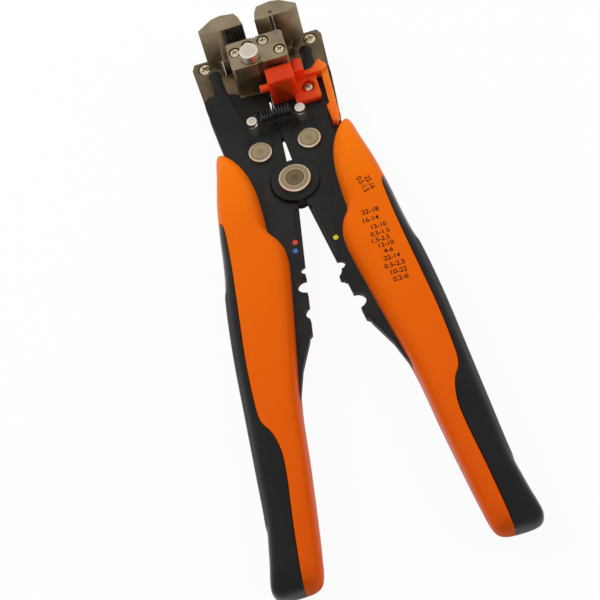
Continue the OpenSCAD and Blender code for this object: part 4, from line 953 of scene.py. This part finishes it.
rod = add(fasteners, "GeometryNodeTransform", {"Geometry": rod, "Translation": (0, 0, -0.48)})
rods = add(fasteners, "GeometryNodeInstanceOnPoints",
           {"Points": given["Geometry"], "Instance": rod, "Scale": thin})
both = add(fasteners, "GeometryNodeJoinGeometry")
for part in (heads, rods):
    fasteners.links.new(part.outputs[0], both.inputs[0])
close_tree(fasteners, both, given["Material"])


# %% The screws of each lever
def points_mesh(name, places, edges=(), **marks):
    """Points in mm and the edges between them, with one value of each attribute per point."""
    mesh = bpy.data.meshes.new(name)
    mesh.from_pydata([tuple(c * MM for c in p) for p in places], edges, [])
    for key, values in marks.items():
        mesh.attributes.new(key, "FLOAT", "POINT").data.foreach_set("value", values)
    return placed(name, mesh)


SMALL_R, CARRIER_R, HEAD_SINK = 1.7575, 2.2, 1.14
BLOCK_SEAT, CARRIER_SEAT = 26.4 - HEAD_SINK, PLATE_FRONT - HEAD_SINK
# Place in mm, radius of the head, turn in degrees and seat, for each lever
SCREWS = {
    "left": [(-7.2675, 46.782, SMALL_R, 17, BLOCK_SEAT), (-2.66, 48.15, SMALL_R, -31, BLOCK_SEAT),
             (-18.615, 54.92, CARRIER_R, 38, CARRIER_SEAT)],
    "right": [(7.315, 43.077, SMALL_R, 22, BLOCK_SEAT), (2.8025, 48.492, SMALL_R, -14, BLOCK_SEAT),
              (18.615, 54.92, CARRIER_R, 9, CARRIER_SEAT)],
}
guard_low, guard_high = (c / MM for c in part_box("stop_guard_screw"))
guard_x, guard_y = ((guard_low[i] + guard_high[i]) / 2 for i in (0, 1))
SCREWS["right"].append((guard_x, guard_y, SMALL_R, 33, guard_high[2] - HEAD_SINK))
for body, rows in SCREWS.items():
    xs, ys, radii, angles, seats = zip(*rows)
    screws = points_mesh(body + "_screws", zip(xs, ys, seats), size=[r * MM for r in radii],
                         turn=[math.radians(a) for a in angles],
                         length=[(seat - PLATE_BACK) * MM for seat in seats])
    grow(screws, fasteners, Head=head_pattern, Material=screw_zinc)
    smooth(screws.data, 32)
    gone = [body + "_jaw_screws", body + "_carrier_screw"]
    stand_for(screws, screw_zinc, *gone, *(["stop_guard_screw"] if body == "right" else []))
    print(screws.name, len(screws.data.polygons), "faces")

# %% [markdown]
# ## Springs, swept by Geometry Nodes
#
# A spring is a path with a round wire along it. The path is a list of points, worked out from
# the radius, the pitch and the posts, and the tree turns it into a curve and sweeps a circle
# along it. The return spring runs between the two posts, and the small torsion springs sit round
# the hinges of the upper jaws.

# %% The tree of the wire
PER_TURN = 20
wire, given = new_tree("wire", ("Radius", "Float"), ("Material", "Material"))
path_curve = add(wire, "GeometryNodeMeshToCurve", {"Mesh": given["Geometry"]})
ring = add(wire, "GeometryNodeCurvePrimitiveCircle", {"Resolution": 10, "Radius": given["Radius"]})
swept = add(wire, "GeometryNodeCurveToMesh",
            {"Curve": path_curve, "Profile Curve": ring, "Fill Caps": True})
close_tree(wire, swept, given["Material"])


def wire_piece(name, path_mm, radius_mm):
    """A wire along the path, as a plain mesh."""
    piece = points_mesh(name, path_mm, [(i, i + 1) for i in range(len(path_mm) - 1)])
    grow(piece, wire, Radius=radius_mm * MM, Material=spring_wire)
    smooth(piece.data, 60)
    return piece


def coil(start_x, end_x, y, z, radius, turns, hand):
    """A helix along X: hand is 1 or -1."""
    count = int(turns * PER_TURN)
    angles = [2 * math.pi * i / PER_TURN for i in range(count + 1)]
    return [(start_x + (end_x - start_x) * i / count, y + radius * math.cos(a),
             z + hand * radius * math.sin(a)) for i, a in enumerate(angles)]


# %% The return spring
WIRE_R, COIL_R, TURNS = 0.3, 1.95, 10.5
GROOVE_Z = (GROOVE_LOW + GROOVE_HIGH) / 2
COIL_Y = POST_Y + 1.38
HOOK_R = GROOVE_R + WIRE_R + 0.1
COIL_HALF = POST_X - POST_R - COIL_R * 0.6


def hook_path(sx, sy):
    """From the coil's end round the post, in the plane of its groove."""
    start = [(sx * (POST_X - HOOK_R), (COIL_Y + POST_Y + sy * (HOOK_R + COIL_R)) / 2, GROOVE_Z)]
    angles = [math.radians(90 - 200 * i / 20) for i in range(21)]
    return start + [(sx * (POST_X + HOOK_R * math.cos(a)), POST_Y + sy * HOOK_R * math.sin(a), GROOVE_Z)
                    for a in angles]


spring_path = (hook_path(-1, 1)[::-1] + coil(-COIL_HALF, COIL_HALF, COIL_Y, GROOVE_Z, COIL_R, TURNS, -1)
               + hook_path(1, -1))
spring = wire_piece("return_spring_wire", spring_path, WIRE_R)
dress(spring, spring_wire)
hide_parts("return_spring")
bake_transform(spring)
print(spring.name, len(spring.data.polygons), "faces")

# %% The torsion springs of the upper jaws
HINGE_Y, HINGE_Z = 49.0, 5.0
THIN_R, TORSION_R, TORSION_TURNS = 0.25, 1.8, 2
for side, body in SIDES:
    low, high = (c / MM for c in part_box(body + "_jaw_spring"))
    inner, outer = (low[0], high[0]) if side > 0 else (-high[0], -low[0])
    near, far = inner + THIN_R, outer - THIN_R
    path = [(far, HINGE_Y + TORSION_R, HINGE_Z - 2.4)]
    path += coil(far, near, HINGE_Y, HINGE_Z, TORSION_R, TORSION_TURNS, 1)
    path += [(near, HINGE_Y + TORSION_R, high[2] - 0.02)]
    torsion = wire_piece(body + "_torsion_spring", [(side * x, y, z) for x, y, z in path], THIN_R)
    stand_for(torsion, spring_wire, body + "_jaw_spring")

# %% [markdown]
# ## Colour dots and printed sizes
#
# Painted dots on the plates pair each crimping nest with its colour of terminal. The right grip
# carries the wire sizes, printed in dark ink. The numbers are text turned into a mesh, cut fine
# enough to bend, and each of its points is dropped onto the curved front of the grip.

# %% Dots
DOTS = {"red_dot": ("#c8352c", -5.8, -22.7, "left"), "blue_dot": ("#2c63ad", -6.5, -25.8, "left"),
        "yellow_dot": ("#cfcb2c", 7.1, -25.2, "right")}
# Radius and height over the plate in mm
DOT_ROWS = [(0, -0.05), (0.85, -0.05), (0.9, 0.01), (0.7, 0.06), (0, 0.08)]
for name, (colour, x, y, body) in DOTS.items():
    paint, tree, shader, place = new_material(name + "_enamel", **{"Base Color": linear(colour),
                                                                   "Roughness": 0.35})
    orange_peel = add(tree, "ShaderNodeTexNoise", {"Vector": place, "Scale": 1 / (0.4 * MM), "Detail": 3.0})
    relief = add(tree, "ShaderNodeBump", {"Height": orange_peel, "Distance": 0.02 * MM, "Strength": 0.5})
    connect(tree, shader, {"Normal": relief})
    dot = turned(name, [(r, PLATE_FRONT + z) for r, z in DOT_ROWS], x, y, 28)
    put_on(dot, body + "_lever", paint)

# %% Printed sizes
# Figures, place in mm, size in mm and turn in degrees
SIZES = [
    ("22-16", 22.4, -13.9, 1.7, -79), ("0.5-1.5", 20.0, -13.9, 1.7, -79),
    ("22-18", 19.7, -24.4, 1.7, 0), ("16-14", 18.9, -27.5, 1.7, 0), ("12-10", 20.7, -30.6, 1.6, 0),
    ("0.5-1.5", 20.6, -33.2, 1.6, 0), ("1.5-2.5", 20.0, -35.6, 1.6, 0),
    ("12-10", 21.1, -37.9, 1.6, 0), ("4-6", 21.4, -40.3, 1.6, 0), ("22-14", 21.8, -43.0, 1.6, 0),
    ("0.5-2.5", 21.9, -45.8, 1.7, 0), ("10-22", 22.3, -48.5, 1.7, 0), ("0.2-6", 22.4, -51.1, 1.7, 0),
]
# Type size for figures one mm high, how much bolder they are drawn, and how far the ink stands up
TYPE_SIZE, BOLDER, INK_LIFT = 1.42, 0.045, 0.03
ink, tree, shader, place = new_material("dark_brown_ink", **{"Roughness": 0.6,
                                                             "Specular IOR Level": 0.1})
cloud = add(tree, "ShaderNodeTexNoise", {"Vector": place, "Scale": 1 / (0.5 * MM), "Detail": 3.0})
tint = add(tree, "ShaderNodeValToRGB", {"Fac": cloud}, [(0.35, "#2c0a02"), (0.7, "#471203")])
connect(tree, shader, {"Base Color": tint})
letters = bmesh.new()
for figures, x, y, size_mm, turn_deg in SIZES:
    curve = bpy.data.curves.new("print", "FONT")
    curve.body, curve.size, curve.offset = figures, size_mm * TYPE_SIZE, BOLDER
    curve.align_x, curve.align_y = "CENTER", "CENTER"
    maker = bpy.data.objects.new("print", curve)
    flat = bpy.data.meshes.new_from_object(maker)
    flat.transform(Matrix.Translation((x, y, 0)) @ Matrix.Rotation(math.radians(turn_deg), 4, "Z"))
    letters.from_mesh(flat)
bmesh.ops.triangulate(letters, faces=letters.faces)
for _ in range(2):
    bmesh.ops.subdivide_edges(letters, edges=[e for e in letters.edges if e.calc_length() > 0.6], cuts=1)
for vertex in letters.verts:
    x, y = vertex.co.x, vertex.co.y
    vertex.co = (x * MM, y * MM, (float(surface_z(x, share_at(y))) + INK_LIFT) * MM)
printed = placed("printed_sizes", kept_mesh("printed_sizes", letters))
put_on(printed, "right_lever", ink)
print("printed sizes:", len(printed.data.polygons), "faces")

# %% [markdown]
# ## Stage and light
#
# The tool lies on a pale studio sweep. The camera sees the sweep mostly at its own pale colour,
# so that the ground stays white in the gaps of the head, and the rest of it is lit, so that the
# tool keeps its shadow. Glossy rays see a white room and not the lamps, while the light that
# falls on the tool is plain, and weaker from below the handles, as between two soft boxes.

# %% Floor
# Half the floor's width in metres, and how much of its own white the camera sees
HALF, OWN_WHITE = 1.6, 0.94
WHITE = (1, 1, 1, 1)
floor_mesh = bpy.data.meshes.new("floor")
floor_mesh.from_pydata([(-HALF, -HALF, 0), (HALF, -HALF, 0), (HALF, HALF, 0), (-HALF, HALF, 0)],
                       [], [(0, 1, 2, 3)])
floor = placed("floor", floor_mesh)
floor_white, tree, shader, _ = new_material("white_sweep", **{"Base Color": linear("#f6f6f6"),
                                                              "Roughness": 0.9})
seen = add(tree, "ShaderNodeLightPath").outputs["Is Camera Ray"]
share = add(tree, "ShaderNodeMath", {0: seen, 1: OWN_WHITE}, operation="MULTIPLY")
glow = add(tree, "ShaderNodeEmission", {"Color": WHITE, "Strength": 1.0})
mixed = add(tree, "ShaderNodeMixShader", {0: share, 1: shader, 2: glow})
out = next(n for n in tree.nodes if n.bl_idname == "ShaderNodeOutputMaterial")
connect(tree, out, {"Surface": mixed})
dress(floor, floor_white)

# %% World and lamps
world = bpy.data.worlds.new("studio")
bpy.context.scene.world = world
world.use_nodes = True
tree = world.node_tree
tree.nodes.clear()
rays = add(tree, "ShaderNodeLightPath")
way = add(tree, "ShaderNodeTexCoord").outputs["Generated"]
way = add(tree, "ShaderNodeSeparateXYZ", {"Vector": way})
room = add(tree, "ShaderNodeMapRange", {"Value": way.outputs["Y"], "From Min": -0.75, "From Max": -0.1,
                                        "To Min": 0.15, "To Max": 0.62})
fill = add(tree, "ShaderNodeBackground", {"Color": WHITE, "Strength": room})
white = add(tree, "ShaderNodeBackground", {"Color": WHITE, "Strength": 1.0})
seen = rays.outputs["Is Camera Ray"]
for kind in ("Is Glossy Ray", "Is Transmission Ray"):
    seen = add(tree, "ShaderNodeMath", {0: seen, 1: rays.outputs[kind]}, operation="MAXIMUM")
both = add(tree, "ShaderNodeMixShader", {0: seen, 1: fill, 2: white})
add(tree, "ShaderNodeOutputWorld", {"Surface": both})


def lamp(name, place, target, size, watts):
    """A square area lamp that faces a point, with places and size in metres."""
    data = bpy.data.lights.new(name, "AREA")
    data.shape, data.size, data.energy = "SQUARE", size, watts
    made = placed(name, data)
    made.location = place
    made.rotation_mode = "QUATERNION"
    made.rotation_quaternion = (Vector(target) - Vector(place)).to_track_quat("-Z", "Y")
    made.visible_glossy = False


lamp("key", (-0.45, 0.3, 0.8), (0, -0.03, 0), 0.5, 4.2)
lamp("side", (0.7, -0.1, 0.5), (0, -0.03, 0), 0.6, 2.0)

bpy.context.scene.view_settings.view_transform = "Standard"
